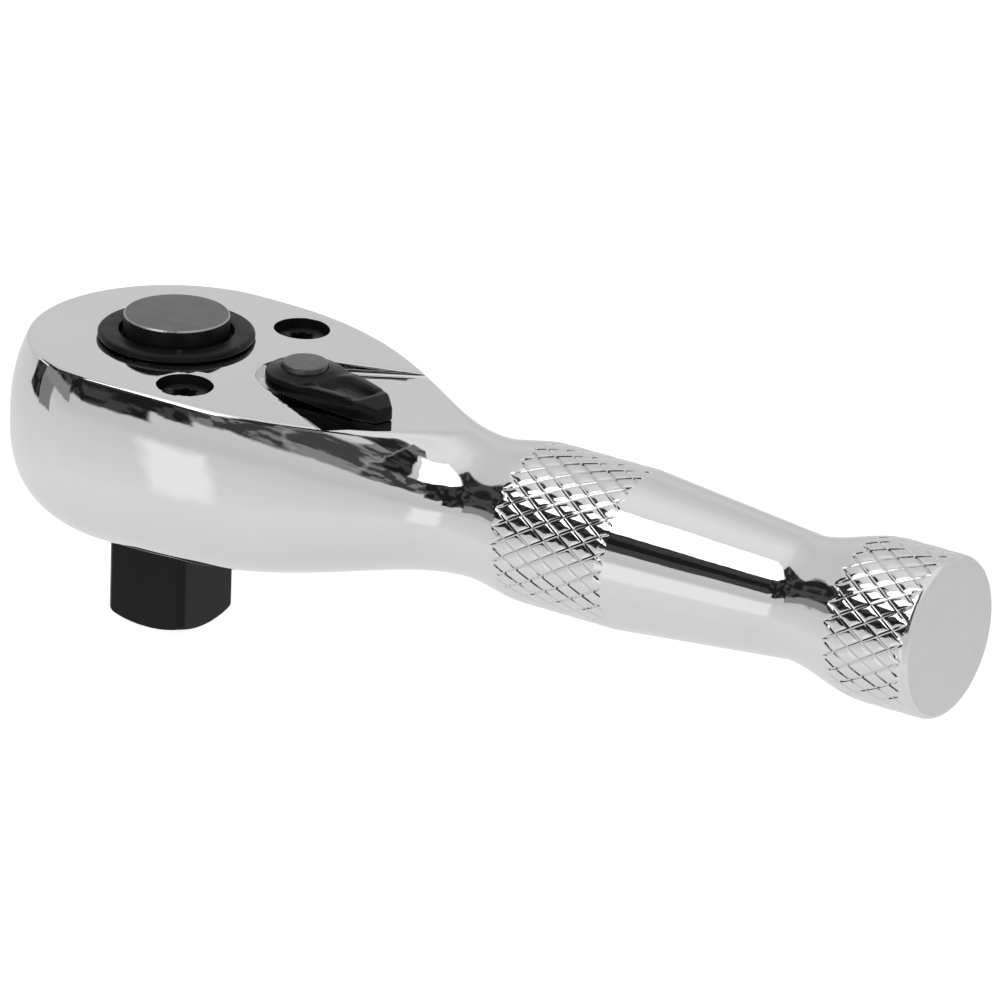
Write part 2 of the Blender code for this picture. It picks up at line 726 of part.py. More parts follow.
def make_lever_shaft(look, parent):
    """Riveted cap, journal and cam in one, with a cross hole for the spring plunger."""
    low, high = LEVER_CAM_Z
    profile = [
        (0.0, LEVER_CAP_Z),
        (LEVER_CAP_R - LEVER_CAP_EDGE, LEVER_CAP_Z),
        (LEVER_CAP_R, LEVER_CAP_Z - LEVER_CAP_EDGE),
        (LEVER_CAP_R, high),
        (LEVER_CAM_R, high),
        (LEVER_CAM_R, low),
        (0.0, low),
    ]
    shaft = piece(turned(profile, 32), "lever_shaft", look, parent)
    hole = rod(PLUNGER_BORE_R, PLUNGER_BORE_START, PLUNGER_BORE_END, 16)
    laid_along(hole, (-1, 0, 0), (0, 0, PLUNGER_Z))
    cut(shaft, hole, "plunger_bore")
    return shaft


def lever_outline():
    """A round hub, straight sides that draw in from it, and a narrower end."""
    shoulder_u, shoulder_v = LEVER_SHOULDER
    tip_u, tip_v = LEVER_TIP
    touch = atan2(shoulder_v, shoulder_u) + acos(LEVER_HUB_R / hypot(shoulder_u, shoulder_v))
    outline = arc(LEVER_HUB_R, touch, 2 * pi - touch, 28)
    outline += [(shoulder_u, -shoulder_v), (tip_u, -tip_v), (tip_u, tip_v)]
    outline.append((shoulder_u, shoulder_v))
    return outline


def make_lever(look, parent):
    """The thumb lever, dished between its hub and its end."""
    lever = piece(prism(lever_outline(), *LEVER_Z), "reverse_lever", look, parent)
    hole = rod(LEVER_CAP_R + CLOSE_GAP, LEVER_Z[0] - OVERCUT, LEVER_Z[1] + OVERCUT, 32)
    cut(lever, hole, "shaft_hole")
    dish = bmesh.new()
    bmesh.ops.create_icosphere(dish, subdivisions=3, radius=1.0)
    bmesh.ops.scale(dish, vec=LEVER_DISH, verts=dish.verts)
    bmesh.ops.translate(dish, vec=(LEVER_DISH_U, 0.0, LEVER_Z[1]), verts=dish.verts)
    cut(lever, dish, "thumb_dish")
    return lever


def make_plunger(look, parent):
    """A round-nosed plunger that points away from the blade."""
    dome = [(PLUNGER_R * cos(a), PLUNGER_TIP - PLUNGER_R + PLUNGER_R * sin(a)) for a in
            (radians(90 - 15 * k) for k in range(7))]
    dome[0] = (0.0, PLUNGER_TIP)
    profile = dome + [(PLUNGER_R, PLUNGER_TAIL), (0.0, PLUNGER_TAIL)]
    bm = laid_along(turned(profile, 16), (-1, 0, 0), (0, 0, PLUNGER_Z))
    return piece(bm, "lever_plunger", look, parent)


def make_lever_spring(look, parent):
    bm = coil(LEVER_COIL_R, LEVER_WIRE_R, *LEVER_COIL_ENDS, LEVER_TURNS, 12, 5)
    laid_along(bm, (-1, 0, 0), (0, 0, PLUNGER_Z))
    return piece(bm, "lever_spring", look, parent)


def make_seals(look):
    piece(torus(*SPINDLE_SEAL, 40), "spindle_seal", look)
    piece(torus(*HUB_SEAL, 40), "hub_seal", look)
    piece(torus(*LEVER_SEAL, 28, 8, (LEVER_X, 0.0)), "lever_seal", look)


def main():
    clear_scene()
    chrome = material("chrome", (0.86, 0.87, 0.88), 0.06, 1.0)
    black_oxide = material("black_oxide", (0.022, 0.022, 0.024), 0.42, 0.6)
    gloss_black = material("gloss_black", (0.012, 0.012, 0.013), 0.18, 0.4)
    blackened = material("blackened_cap", (0.16, 0.16, 0.165), 0.45, 0.8)
    bare_steel = material("bare_steel", (0.55, 0.55, 0.56), 0.3, 1.0)
    rubber = material("seal_rubber", (0.02, 0.02, 0.02), 0.7, 0.0)

    drive_axis = joint_empty("drive_axis")
    button_axis = joint_empty("button_axis")
    ball_axis = joint_empty("ball_axis")
    lever_axis = joint_empty("lever_axis", LEVER_X, LEVER_REST)
    pawl_axis = joint_empty("pawl_axis", LEVER_X, PAWL_REST)

    make_body(chrome)
    make_cover_plate(chrome)
    make_screw("cover_screw_left", SCREW_Y, black_oxide)
    make_screw("cover_screw_right", -SCREW_Y, black_oxide)
    make_seals(rubber)
    make_pawl_washer(bare_steel)
    make_drive_gear(black_oxide, drive_axis)
    make_collar(black_oxide, drive_axis)
    make_washer(bare_steel, drive_axis)
    make_release_spring(bare_steel, drive_axis)
    make_button(blackened, button_axis)
    make_pin(bare_steel, button_axis)
    make_ball(bare_steel, ball_axis)
    make_pawl(bare_steel, pawl_axis)
    make_lever(gloss_black, lever_axis)
    make_lever_shaft(blackened, lever_axis)
    make_plunger(bare_steel, lever_axis)
    make_lever_spring(bare_steel, lever_axis)


main()
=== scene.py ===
"""Looks of the stubby ratchet wrench: fine meshes over the CAD frame, materials, studio, camera.

Lengths are in millimetres in the CAD frame (drive axis +Z, handle along +X) until an object is
made, which turns them into metres. Names that end in _Z are heights above the drive's end.
Cutters run a few millimetres past the faces that they open.
"""

from math import acos, asin, atan2, cos, hypot, pi, radians, sin, tan

import bmesh
import bpy
from mathutils import Matrix, Vector


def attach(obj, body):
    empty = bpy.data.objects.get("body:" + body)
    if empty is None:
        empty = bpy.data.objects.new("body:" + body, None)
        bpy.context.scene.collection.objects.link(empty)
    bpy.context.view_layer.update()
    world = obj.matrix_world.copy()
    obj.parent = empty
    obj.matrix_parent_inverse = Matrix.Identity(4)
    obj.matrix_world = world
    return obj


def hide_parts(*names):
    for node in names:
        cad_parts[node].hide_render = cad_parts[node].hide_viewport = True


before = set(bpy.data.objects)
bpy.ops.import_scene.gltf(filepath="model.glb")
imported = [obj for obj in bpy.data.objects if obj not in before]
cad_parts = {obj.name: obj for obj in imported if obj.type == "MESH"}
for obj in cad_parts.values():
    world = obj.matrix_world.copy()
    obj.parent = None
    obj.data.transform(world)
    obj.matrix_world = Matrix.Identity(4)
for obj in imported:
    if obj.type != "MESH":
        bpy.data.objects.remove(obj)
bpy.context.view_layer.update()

MM = 0.001
MERGE = 1e-7

# Forging
HEAD_TOP_Z = 30.9
HEAD_BOTTOM_Z = 11.6
HEAD_CENTRE_Z = 22.5
HANDLE_AXIS_Z = 21.93
HEAD_R = 16.92
HEAD_UPPER = 17.2
HEAD_LOWER = 12.27
HEAD_UPPER_POWER = 2.17
HEAD_LOWER_POWER = 2.8
TOP_SLOPE = 0.067
TOP_SLOPE_BEND = (4.0, 12.0)
TOP_SLOPE_DROP = 1.35
TOP_SLOPE_BLEND = 0.3
TOP_FLAT_END = (34.5, 39.0)
NECK_X = 39.0
NECK_R = 7.3
NECK_PLAN_POWER = 1.45
NECK_DEPTH_POWER = 1.6
HEAD_SHAPE_END = (14.0, 36.0)
CREASE_BLEND = 0.42
FOOT_BLEND = 0.5
SECTION_STEPS = (12, 8, 40, 6, 8)
SECTION_CAPS = (radians(66), radians(54))
FRONT_BAND = (46.0, 57.0, 8.25)
WAIST_X = 76.5
WAIST_R = 6.35
REAR_BAND = (86.0, 92.4, 8.28)
HANDLE_END_X = 93.2
END_FACE_R = 7.75

# Rolled diamond knurling
KNURL_FRONT = (44.6, 57.9)
KNURL_REAR = (83.4, 92.55)
KNURL_STARTS = 27
KNURL_ANGLE = radians(32.0)
KNURL_DEPTH = 0.24
KNURL_SEAT = 0.4
KNURL_FADE = 0.8
KNURL_BACK = 0.7
CELL_RINGS = ((1.0, 1.0), (0.82, 0.12), (0.7, 0.0), (0.35, -0.08))
CELL_SIDE_STEPS = 4

# Drive and quick release
SQUARE_HALF = 4.765
SQUARE_CORNER_R = 6.35
SQUARE_END_R = 3.9
SQUARE_CHAMFER = 1.2
SQUARE_BLEND = 0.12
SQUARE_END_SHRINK = 0.985
TEETH = 72
GEAR_TIP_R = 10.5
TOOTH_DEPTH = 0.45
GEAR_Z = (15.3, 25.5)
HUB_R = 7.2
HUB_BOTTOM_Z = 11.3
SPINDLE_R = 7.35
SPINDLE_NECK_R = 6.85
SPINDLE_NECK_Z = 29.7
BUTTON_WELL = (6.4, 22.9)
PIN_BORE = (1.75, 1.5)
BALL_HOLE_R = 2.15
BALL_HOLE_SPAN = (0.6, 8.0)
BALL_Z = 5.5
COLLAR_R = (5.95, 8.1)
COLLAR_Z = (31.02, 31.75)
COLLAR_SKIRT_R = (7.05, 7.42)
BUTTON_R = 5.5
BUTTON_TOP_Z = 33.53
BUTTON_EDGE = 0.21
BUTTON_FLANGE = (6.15, 29.4, 30.85)
BUTTON_SOCKET = (1.65, 31.7)

# Lips and fillets of the hollows in the head's top
LIP_TURN = radians(72)
LIP_STEPS = 5
LIP_CLEARANCE = 0.6
BORE_LIP = 0.12
SCREW_LIP = 0.1
WELL_LIP = 0.22
WELL_FILLET = 0.45

# Cavities, cover plate and screws
HEAD_BORE_R = 7.75
POCKET_R = 10.8
POCKET_TOP_Z = 27.0
PLATE_SEAT_Z = 14.7
PLATE_NOSE_R = 12.9
PLATE_TAIL = (17.5, 6.6)
PLATE_LOBE_R = 2.4
PLATE_GAP = 0.12
SCREW_X = 8.5
SCREW_Y = 10.28
SCREW_SEAT_R = 2.885
SCREW_SEAT_Z = 28.2
SCREW_HEAD = (2.7, 30.0)
SCREW_HEAD_GAP = 0.12
SCREW_END_Z = 13.5
SCREW_SOCKET_R = 1.22
SCREW_SOCKET_LOBE = 0.2
SCREW_SOCKET_LOBES = 6
SCREW_SOCKET_STEPS = ((-0.12, -1.3), (0.0, -1.15), (0.0, -0.12), (0.14, 0.02), (1.1, 1.0))
SCREW_CLEAR_R = 1.7
SCREW_SHANK_R = 1.4

# Reversing lever
LEVER_X = 16.1
LEVER_REST = radians(-17.0)
LEVER_CAP_R = 2.32
LEVER_CAP_Z = 32.15
LEVER_CAP_GAPS = (0.12, 0.3)
LEVER_CAM = (3.0, 15.4, 26.7)
LEVER_HUB_R = 4.05
LEVER_SHOULDER = (10.9, 2.25)
LEVER_TIP = (12.9, 1.1)
LEVER_BOTTOM_Z = 29.7
LEVER_RIM = (0.26, 0.62)
LEVER_HUB_RISE = 0.34
LEVER_RIDGE = 0.22
LEVER_KICK = 0.16
LEVER_TIP_DROP = 0.5
LEVER_DISH_DEPTH = 0.75
LEVER_CORNER_BLEND = 0.3
LEVER_SHOULDER_RUN = 0.4
LEVER_NOSE_START = 0.02
LEVER_EDGE = 0.3
LEVER_FOOT = 0.14
LEVER_END_INSETS = (0.08, 0.3)
LEVER_END_BULGE = 0.7
LEVER_WELL_R = 5.0
LEVER_WELL_SPREAD = radians(25.5)
LEVER_WELL_END = 26.0
LEVER_WELL_FLOOR_Z = (29.0, 30.33)
PLUNGER_BORE_R = 1.15
PLUNGER_BORE_SPAN = (-1.7, 5.0)
PLUNGER_Z = 20.1
PAWL_ROOM = ((LEVER_X, 0.0, 6.0), (10.63, 9.05, 0.0), (10.63, -9.05, 0.0), (4.0, 0.0, 4.0))

# Camera: how far it stands round, above and away from its target, and its lens
CAMERA_AZIMUTH = radians(-56.895)
CAMERA_ELEVATION = radians(21.929)
CAMERA_ROLL = radians(2.1515)
CAMERA_DISTANCE = 865.34
CAMERA_TARGET = (40.31, 0.0, 23.05)
CAMERA_LENS = 310.13
SENSOR = 36.0


# ---------------------------------------------------------------- mesh helpers


def evenly(start, end, steps):
    return [start + (end - start) * i / steps for i in range(steps + 1)]


def arc(radius, start, end, steps, centre=(0.0, 0.0)):
    return [(centre[0] + radius * cos(a), centre[1] + radius * sin(a))
            for a in evenly(start, end, steps)]


def circle(radius, steps, centre=(0.0, 0.0)):
    return arc(radius, 0.0, 2 * pi, steps, centre)[:-1]


def smooth(low, high, x):
    t = min(max((x - low) / (high - low), 0.0), 1.0)
    return t * t * (3 - 2 * t)


def smooth_min(a, b, blend):
    near = max(blend - abs(a - b), 0.0) / blend
    return min(a, b) - near * near * blend / 4


def finished(bm, name):
    """Turns a bmesh in millimetres into an object in metres with outward normals."""
    bmesh.ops.scale(bm, vec=(MM, MM, MM), verts=bm.verts)
    bmesh.ops.remove_doubles(bm, verts=bm.verts, dist=MERGE)
    bmesh.ops.recalc_face_normals(bm, faces=bm.faces)
    mesh = bpy.data.meshes.new(name)
    bm.to_mesh(mesh)
    bm.free()
    made = bpy.data.objects.new(name, mesh)
    bpy.context.scene.collection.objects.link(made)
    return made


def stacked(loops):
    """A solid from equal loops of 3-D points, with its first and last filled."""
    bm = bmesh.new()
    rings = [[bm.verts.new(p) for p in loop] for loop in loops]
    count = len(rings[0])
    for low, high in zip(rings, rings[1:]):
        for i in range(count):
            j = (i + 1) % count
            bm.faces.new((low[i], low[j], high[j], high[i]))
    bm.faces.new(rings[0])
    bm.faces.new(rings[-1])
    return bm


def prism(outline, bottom, top):
    return stacked([[(x, y, z) for x, y in outline] for z in (bottom, top)])


def turned(profile, steps, centre=(0.0, 0.0)):
    """A solid of revolution about a vertical axis from a closed loop of (radius, z) points."""
    bm = bmesh.new()
    rings = []
    for k in range(steps):
        turn = 2 * pi * k / steps
        ring = [(centre[0] + r * cos(turn), centre[1] + r * sin(turn), z) for r, z in profile]
        rings.append([bm.verts.new(p) for p in ring])
    count = len(profile)
    for k in range(steps):
        here = rings[k]
        after = rings[(k + 1) % steps]
        for i in range(count):
            j = (i + 1) % count
            if profile[i][0] or profile[j][0]:
                bm.faces.new((here[i], after[i], after[j], here[j]))
    return bm


def rod(radius, bottom, top, steps=48, centre=(0.0, 0.0)):
    return turned([(0.0, top), (radius, top), (radius, bottom), (0.0, bottom)], steps, centre)


def level_rod(radius, start, end, z, steps):
    """A rod along X at height z; start and end are distances towards -X."""
    bm = rod(radius, start, end, steps)
    bmesh.ops.transform(bm, matrix=Matrix.Rotation(-pi / 2, 4, "Y"), verts=bm.verts)
    bmesh.ops.translate(bm, vec=(0, 0, z), verts=bm.verts)
    return bm


def rounded(profile, radii, steps=5):
    """The closed (radius, z) loop with the corners listed in radii turned into arcs."""
    points = []
    count = len(profile)
    for i, corner in enumerate(profile):
        size = radii.get(i)
        here = Vector(corner)
        if not size:
            points.append(corner)
            continue
        before = (Vector(profile[i - 1]) - here).normalized()
        after = (Vector(profile[(i + 1) % count]) - here).normalized()
        half = acos(max(-1.0, min(1.0, before.dot(after)))) / 2
        reach = size / tan(half)
        centre = here + (before + after).normalized() * (size / sin(half))
        first = here + before * reach - centre
        last = here + after * reach - centre
        swing = pi - 2 * half
        for k in range(steps + 1):
            t = k / steps
            a = sin((1 - t) * swing) / sin(swing)
            b = sin(t * swing) / sin(swing)
            points.append(tuple(centre + first * a + last * b))
    return points


def hull(circles, steps):
    """The convex outline round several (x, y, radius) circles."""
    outline = []
    for k in range(steps):
        turn = 2 * pi * k / steps
        x, y, r = max(circles, key=lambda c: c[0] * cos(turn) + c[1] * sin(turn) + c[2])
        outline.append((x + r * cos(turn), y + r * sin(turn)))
    return outline


def cut(target, cutters):
    """Applies Booleans one after another to the target's mesh: (bmesh, operation) pairs."""
    for number, (bm, operation) in enumerate(cutters):
        tool = finished(bm, f"{target.name}.tool{number}")
        step = target.modifiers.new("cut", "BOOLEAN")
        step.operation = operation
        step.solver = "EXACT"
        step.object = tool
        ready = target.evaluated_get(bpy.context.evaluated_depsgraph_get())
        old = target.data
        target.data = bpy.data.meshes.new_from_object(ready)
        target.modifiers.remove(step)
        bpy.data.meshes.remove(old)
        bpy.data.objects.remove(tool, do_unlink=True)


def dressed(made, looks, crease=32.0):
    """Smooth shading with sharp edges, and the materials."""
    made.data.materials.clear()
    for look in looks:
        made.data.materials.append(look)
    made.data.shade_smooth()
    made.data.set_sharp_from_angle(angle=radians(crease))
    return made


def on_body(made, body, slot, *nodes):
    """Says what the piece moves with and hides the CAD nodes that it stands for; slot is not
    used.
    """
    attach(made, body)
    if nodes:
        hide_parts(*nodes)
    return made


# ---------------------------------------------------------------- forging


def fall(x, power):
    """1 at the drive's axis, falling to 0 at the neck."""
    t = min(max(x / NECK_X, 0.0), 1.0)
    return 0.5 + 0.5 * cos(pi * t**power)


def handle_radius(x):
    """Radius of the turned handle, its two bands and the edge of its end face."""
    front_x, front_end, front_r = FRONT_BAND
    rear_x, rear_end, rear_r = REAR_BAND
    if x <= front_end:
        return NECK_R + (front_r - NECK_R) * smooth(NECK_X, front_x, x)
    if x <= WAIST_X:
        return front_r + (WAIST_R - front_r) * (x - front_end) / (WAIST_X - front_end)
    if x <= rear_end:
        return WAIST_R + (rear_r - WAIST_R) * smooth(WAIST_X, rear_x, x)
    t = min((x - rear_end) / (HANDLE_END_X - rear_end), 1.0)
    return END_FACE_R + (rear_r - END_FACE_R) * (1 - t * t) ** 0.5


def section(x):
    """Half-width, upper and lower height, their powers, and the centre height at x."""
    if x >= NECK_X:
        r = handle_radius(x)
        return r, r, r, 2.0, 2.0, HANDLE_AXIS_Z
    plan = fall(x, NECK_PLAN_POWER)
    depth = fall(x, NECK_DEPTH_POWER)
    head = 1 - smooth(*HEAD_SHAPE_END, x)
    return (
        NECK_R + (HEAD_R - NECK_R) * plan,
        NECK_R + (HEAD_UPPER - NECK_R) * plan,
        NECK_R + (HEAD_LOWER - NECK_R) * depth,
        2 + (HEAD_UPPER_POWER - 2) * head,
        2 + (HEAD_LOWER_POWER - 2) * head,
        HANDLE_AXIS_Z + (HEAD_CENTRE_Z - HANDLE_AXIS_Z) * head,
    )


def top_height(x):
    """The milled top: level over the drive, then dipping towards the neck."""
    start, end = TOP_SLOPE_BEND
    if x <= start:
        drop = 0.0
    elif x < end:
        drop = TOP_SLOPE * (x - start) ** 2 / (2 * (end - start))
    else:
        drop = TOP_SLOPE * (x - (start + end) / 2)
    drop = smooth_min(drop, TOP_SLOPE_DROP, TOP_SLOPE_BLEND)
    return HEAD_TOP_Z - drop + smooth(*TOP_FLAT_END, x)


def half_section(x, inset=0.0):
    """Half of the cross-section at x as (distance from the middle, z), top to bottom.

    Its points crowd at the crease round the milled top and at the foot round the flat bottom.
    """
    width, upper, lower, power_up, power_low, centre = section(x)
    top = top_height(x)
    steep, gentle = SECTION_CAPS

    def slant(rise, height, power, cap):
        return asin(min((max(rise, 0.0) / height) ** (power / 2), sin(cap)))

    stops = [
        pi / 2,
        slant(top + CREASE_BLEND - centre, upper, power_up, steep),
        slant(top - CREASE_BLEND - centre, upper, power_up, gentle),
        -slant(centre - HEAD_BOTTOM_Z - FOOT_BLEND, lower, power_low, gentle),
        -slant(centre - HEAD_BOTTOM_Z + FOOT_BLEND, lower, power_low, steep),
        -pi / 2,
    ]
    angles = []
    for start, end, steps in zip(stops, stops[1:], SECTION_STEPS):
        angles += evenly(start, end, steps)[:-1]
    angles.append(-pi / 2)
    points = []
    for angle in angles:
        high = angle > 0
        power = power_up if high else power_low
        reach = abs(cos(angle)) ** (2 / power) * (width - inset)
        rise = abs(sin(angle)) ** (2 / power) * (upper if high else -lower)
        z = centre + rise * (1 - inset / width)
        z = smooth_min(z, top, CREASE_BLEND)
        z = -smooth_min(-z, -HEAD_BOTTOM_Z, FOOT_BLEND)
        points.append((0.0 if abs(angle) == pi / 2 else reach, z))
    return points


def seat_stations(band):
    """Stations of the shallow seat that a knurled band lies in."""
    start, end = band
    inner = [(x, KNURL_SEAT) for x in evenly(start, end, 12)]
    return [(start, 0.0), *inner, (end, 0.0)]


def body_stations(seats):
    """Stations along the wrench as (x, inset), only as far as the neck without the seats."""
    if not seats:
        return [(x, 0.0) for x in evenly(0, NECK_X, 60)]
    stations = [(x, 0.0) for x in evenly(0, NECK_X, 84)]
    stations += [(x, 0.0) for x in evenly(NECK_X, KNURL_FRONT[0], 10)[1:-1]]
    stations += seat_stations(KNURL_FRONT)
    stations += [(x, 0.0) for x in evenly(KNURL_FRONT[1], WAIST_X, 24)[1:]]
    stations += [(x, 0.0) for x in evenly(WAIST_X, KNURL_REAR[0], 16)[1:-1]]
    stations += seat_stations(KNURL_REAR)
    last = REAR_BAND[1]
    reach = HANDLE_END_X - last
    first = asin((KNURL_REAR[1] - last) / reach)
    stations += [(last + reach * sin(a), 0.0) for a in evenly(first, pi / 2, 7)[1:]]
    return stations


def body_form(seats=True):
    """The forged outside: a half-round nose, the pear head and the turned handle in one skin."""
    bm = bmesh.new()
    strips = []
    stations = body_stations(seats)
    far = stations[-1][0]
    for side in (1, -1):
        rows = [[(x, side * d, z) for d, z in half_section(x, inset)] for x, inset in stations]
        rows.append([(far, 0.0, HANDLE_AXIS_Z)] * len(rows[0]))
        strips.append(rows)
    nose = half_section(0.0)
    turns = evenly(pi / 2, 3 * pi / 2, 96)
    strips.append([[(d * cos(a), d * sin(a), z) for d, z in nose] for a in turns])
    for rows in strips:
        grid = [[bm.verts.new(p) for p in row] for row in rows]
        for row, after in zip(grid, grid[1:]):
            for i in range(len(row) - 1):
                bm.faces.new((row[i], row[i + 1], after[i + 1], after[i]))
    return bm


def outline_normals(outline):
    """Outward unit directions at the points of an anticlockwise outline."""
    count = len(outline)
    normals = []
    for i in range(count):
        run = Vector(outline[(i + 1) % count]) - Vector(outline[i - 1])
        normals.append(Vector((run.y, -run.x)).normalized())
    return normals


def flared(outline, floor, lip, fillet=0.0):
    """A cutter with a filleted floor, upright walls and a rounded lip at the milled top.

    floor is a function of x, and the outline runs anticlockwise.
    """
    normals = outline_normals(outline)

    def loop(grow, height):
        return [(x + n.x * grow, y + n.y * grow, height(x)) for (x, y), n in
                zip(outline, normals)]

    loops = []
    if fillet:
        for a in evenly(0.0, pi / 2, 5):
            rise = fillet * (1 - cos(a))
            loops.append(loop(-fillet * (1 - sin(a)), lambda x, up=rise: floor(x) + up))
    else:
        loops.append(loop(0.0, floor))
    for a in evenly(0.0, LIP_TURN, LIP_STEPS):
        drop = lip * (1 - sin(a))
        loops.append(loop(lip * (1 - cos(a)), lambda x, down=drop: top_height(x) - down))
    out = lip * (1 - cos(LIP_TURN)) + LIP_CLEARANCE * tan(LIP_TURN)
    loops.append(loop(out, lambda x: top_height(x) + LIP_CLEARANCE))
    return stacked(loops)


def plate_outline(grow=0.0):
    """The cover plate's outline: round nose, tail under the lever and a lobe at each screw."""
    circles = [(0.0, 0.0, PLATE_NOSE_R + grow), (PLATE_TAIL[0], 0.0, PLATE_TAIL[1] + grow)]
    circles += [(SCREW_X, side * SCREW_Y, PLATE_LOBE_R + grow) for side in (1, -1)]
    return hull(circles, 160)


def lever_well():
    """The lever's well, which is round at the hub and widens and rises towards the neck."""
    edge = LEVER_WELL_SPREAD
    outline = arc(LEVER_WELL_R, pi / 2 + edge, 3 * pi / 2 - edge, 40, (LEVER_X, 0.0))
    far = LEVER_X + LEVER_WELL_END
    near_y = LEVER_WELL_R * cos(edge)
    near_x = LEVER_X - LEVER_WELL_R * sin(edge)
    slope = tan(edge)
    steps = evenly(near_x, far, 24)[1:]
    outline += [(x, -near_y - (x - near_x) * slope) for x in steps]
    outline += [(x, near_y + (x - near_x) * slope) for x in reversed(steps)]
    start = LEVER_X - LEVER_WELL_R
    low, high = LEVER_WELL_FLOOR_Z

    def floor(x):
        return low + (high - low) * (x - start) / (far - start)

    return flared(outline, floor, WELL_LIP, WELL_FILLET)


def head_cutters():
    """The hollows of the forging, inside and out."""
    screw_seats = [
        flared(circle(SCREW_SEAT_R, 64, (SCREW_X, y)), lambda x: SCREW_SEAT_Z, SCREW_LIP)
        for y in (SCREW_Y, -SCREW_Y)
    ]
    screw_shafts = [
        rod(SCREW_CLEAR_R, PLATE_SEAT_Z - 1, SCREW_SEAT_Z + 1, 32, (SCREW_X, y))
        for y in (SCREW_Y, -SCREW_Y)
    ]
    pocket = turned([(0.0, POCKET_TOP_Z), (POCKET_R, POCKET_TOP_Z),
                     (POCKET_R, PLATE_SEAT_Z - 1), (0.0, PLATE_SEAT_Z - 1)], 96)
    cutters = [
        prism(plate_outline(PLATE_GAP), HEAD_BOTTOM_Z - 5, PLATE_SEAT_Z),
        pocket,
        flared(circle(HEAD_BORE_R, 128), lambda x: POCKET_TOP_Z - 1, BORE_LIP),
        prism(hull(PAWL_ROOM, 90), PLATE_SEAT_Z - 1, POCKET_TOP_Z - 0.01),
        lever_well(),
        rod(LEVER_CAP_R + LEVER_CAP_GAPS[1], POCKET_TOP_Z - 1, HEAD_TOP_Z + 1, 48,
            (LEVER_X, 0.0)),
        *screw_seats,
        *screw_shafts,
    ]
    return [(bm, "DIFFERENCE") for bm in cutters]


def build_body(looks):
    body = finished(body_form(), "forged_body")
    cut(body, head_cutters())
    dressed(body, [looks["chrome"], looks["end_face"], looks["black_oxide"]])
    on_end = 1
    # The screw seats of the chrome forging take the black oxide look: painted shade darkening
    # these recesses round the screws.
    painted_shade_in_screw_seat = 2
    for face in body.data.polygons:
        place = face.center / MM
        to_screw = hypot(place.x - SCREW_X, abs(place.y) - SCREW_Y)
        if place.x > HANDLE_END_X - 0.01:
            face.material_index = on_end
        # Painted shade: faces inside the screw seats get the black look.
        elif to_screw < SCREW_SEAT_R + 0.02 and place.z > SCREW_SEAT_Z - 0.1:
            face.material_index = painted_shade_in_screw_seat
    return on_body(body, "housing", "chrome", "body")


def build_cover_plate(looks):
    plate = finished(body_form(False), "drive_side_plate")
    bore = [
        (0.0, PLATE_SEAT_Z + 2),
        (HUB_R + 0.3, PLATE_SEAT_Z + 2),
        (HUB_R + 0.3, HEAD_BOTTOM_Z + 0.2),
        (HUB_R + 0.5, HEAD_BOTTOM_Z),
        (HUB_R + 2.5, HEAD_BOTTOM_Z - 2),
        (0.0, HEAD_BOTTOM_Z - 2),
    ]
    cutters = [
        (prism(plate_outline(), HEAD_BOTTOM_Z - 5, PLATE_SEAT_Z - PLATE_GAP), "INTERSECT"),
        (turned(bore, 96), "DIFFERENCE"),
    ]
    for y in (SCREW_Y, -SCREW_Y):
        hole = rod(SCREW_SHANK_R + 0.2, HEAD_BOTTOM_Z - 3, PLATE_SEAT_Z + 2, 32, (SCREW_X, y))
        cutters.append((hole, "DIFFERENCE"))
    cut(plate, cutters)
    dressed(plate, [looks["chrome"]])
    return on_body(plate, "housing", "chrome", "cover_plate")


# ---------------------------------------------------------------- knurling


def knurl_point(x, turn, depth, band):
    """A point on the handle's skin; grooves run out before the ends of the band."""
    start, end = band
    keep = smooth(start, start + KNURL_FADE, x) * (1 - smooth(end - KNURL_FADE, end, x))
    r = handle_radius(x) - depth * KNURL_DEPTH * keep
    return (x, r * cos(turn), HANDLE_AXIS_Z + r * sin(turn))


def diamond_ring(x, turn, half_x, half_turn, size):
    """Points round a diamond in (x, angle), CELL_SIDE_STEPS to a side."""
    corners = [(half_x, 0.0), (0.0, half_turn), (-half_x, 0.0), (0.0, -half_turn)]
    points = []
    for (ax, at), (bx, bt) in zip(corners, corners[1:] + corners[:1]):
        for k in range(CELL_SIDE_STEPS):
            t = k / CELL_SIDE_STEPS
            points.append((x + size * (ax + (bx - ax) * t), turn + size * (at + (bt - at) * t)))
    return points


def add_cell(bm, x, turn, half_x, half_turn, band):
    """One diamond of the knurling, from its grooves up to its middle."""
    rings = []
    for size, depth in CELL_RINGS:
        flat = diamond_ring(x, turn, half_x, half_turn, size)
        rings.append([bm.verts.new(knurl_point(px, pt, depth, band)) for px, pt in flat])
    count = len(rings[0])
    for outer, inner in zip(rings, rings[1:]):
        for i in range(count):
            j = (i + 1) % count
            bm.faces.new((outer[i], outer[j], inner[j], inner[i]))
    middle = bm.verts.new(knurl_point(x, turn, CELL_RINGS[-1][1], band))
    last = rings[-1]
    for i in range(count):
        bm.faces.new((last[i], last[(i + 1) % count], middle))


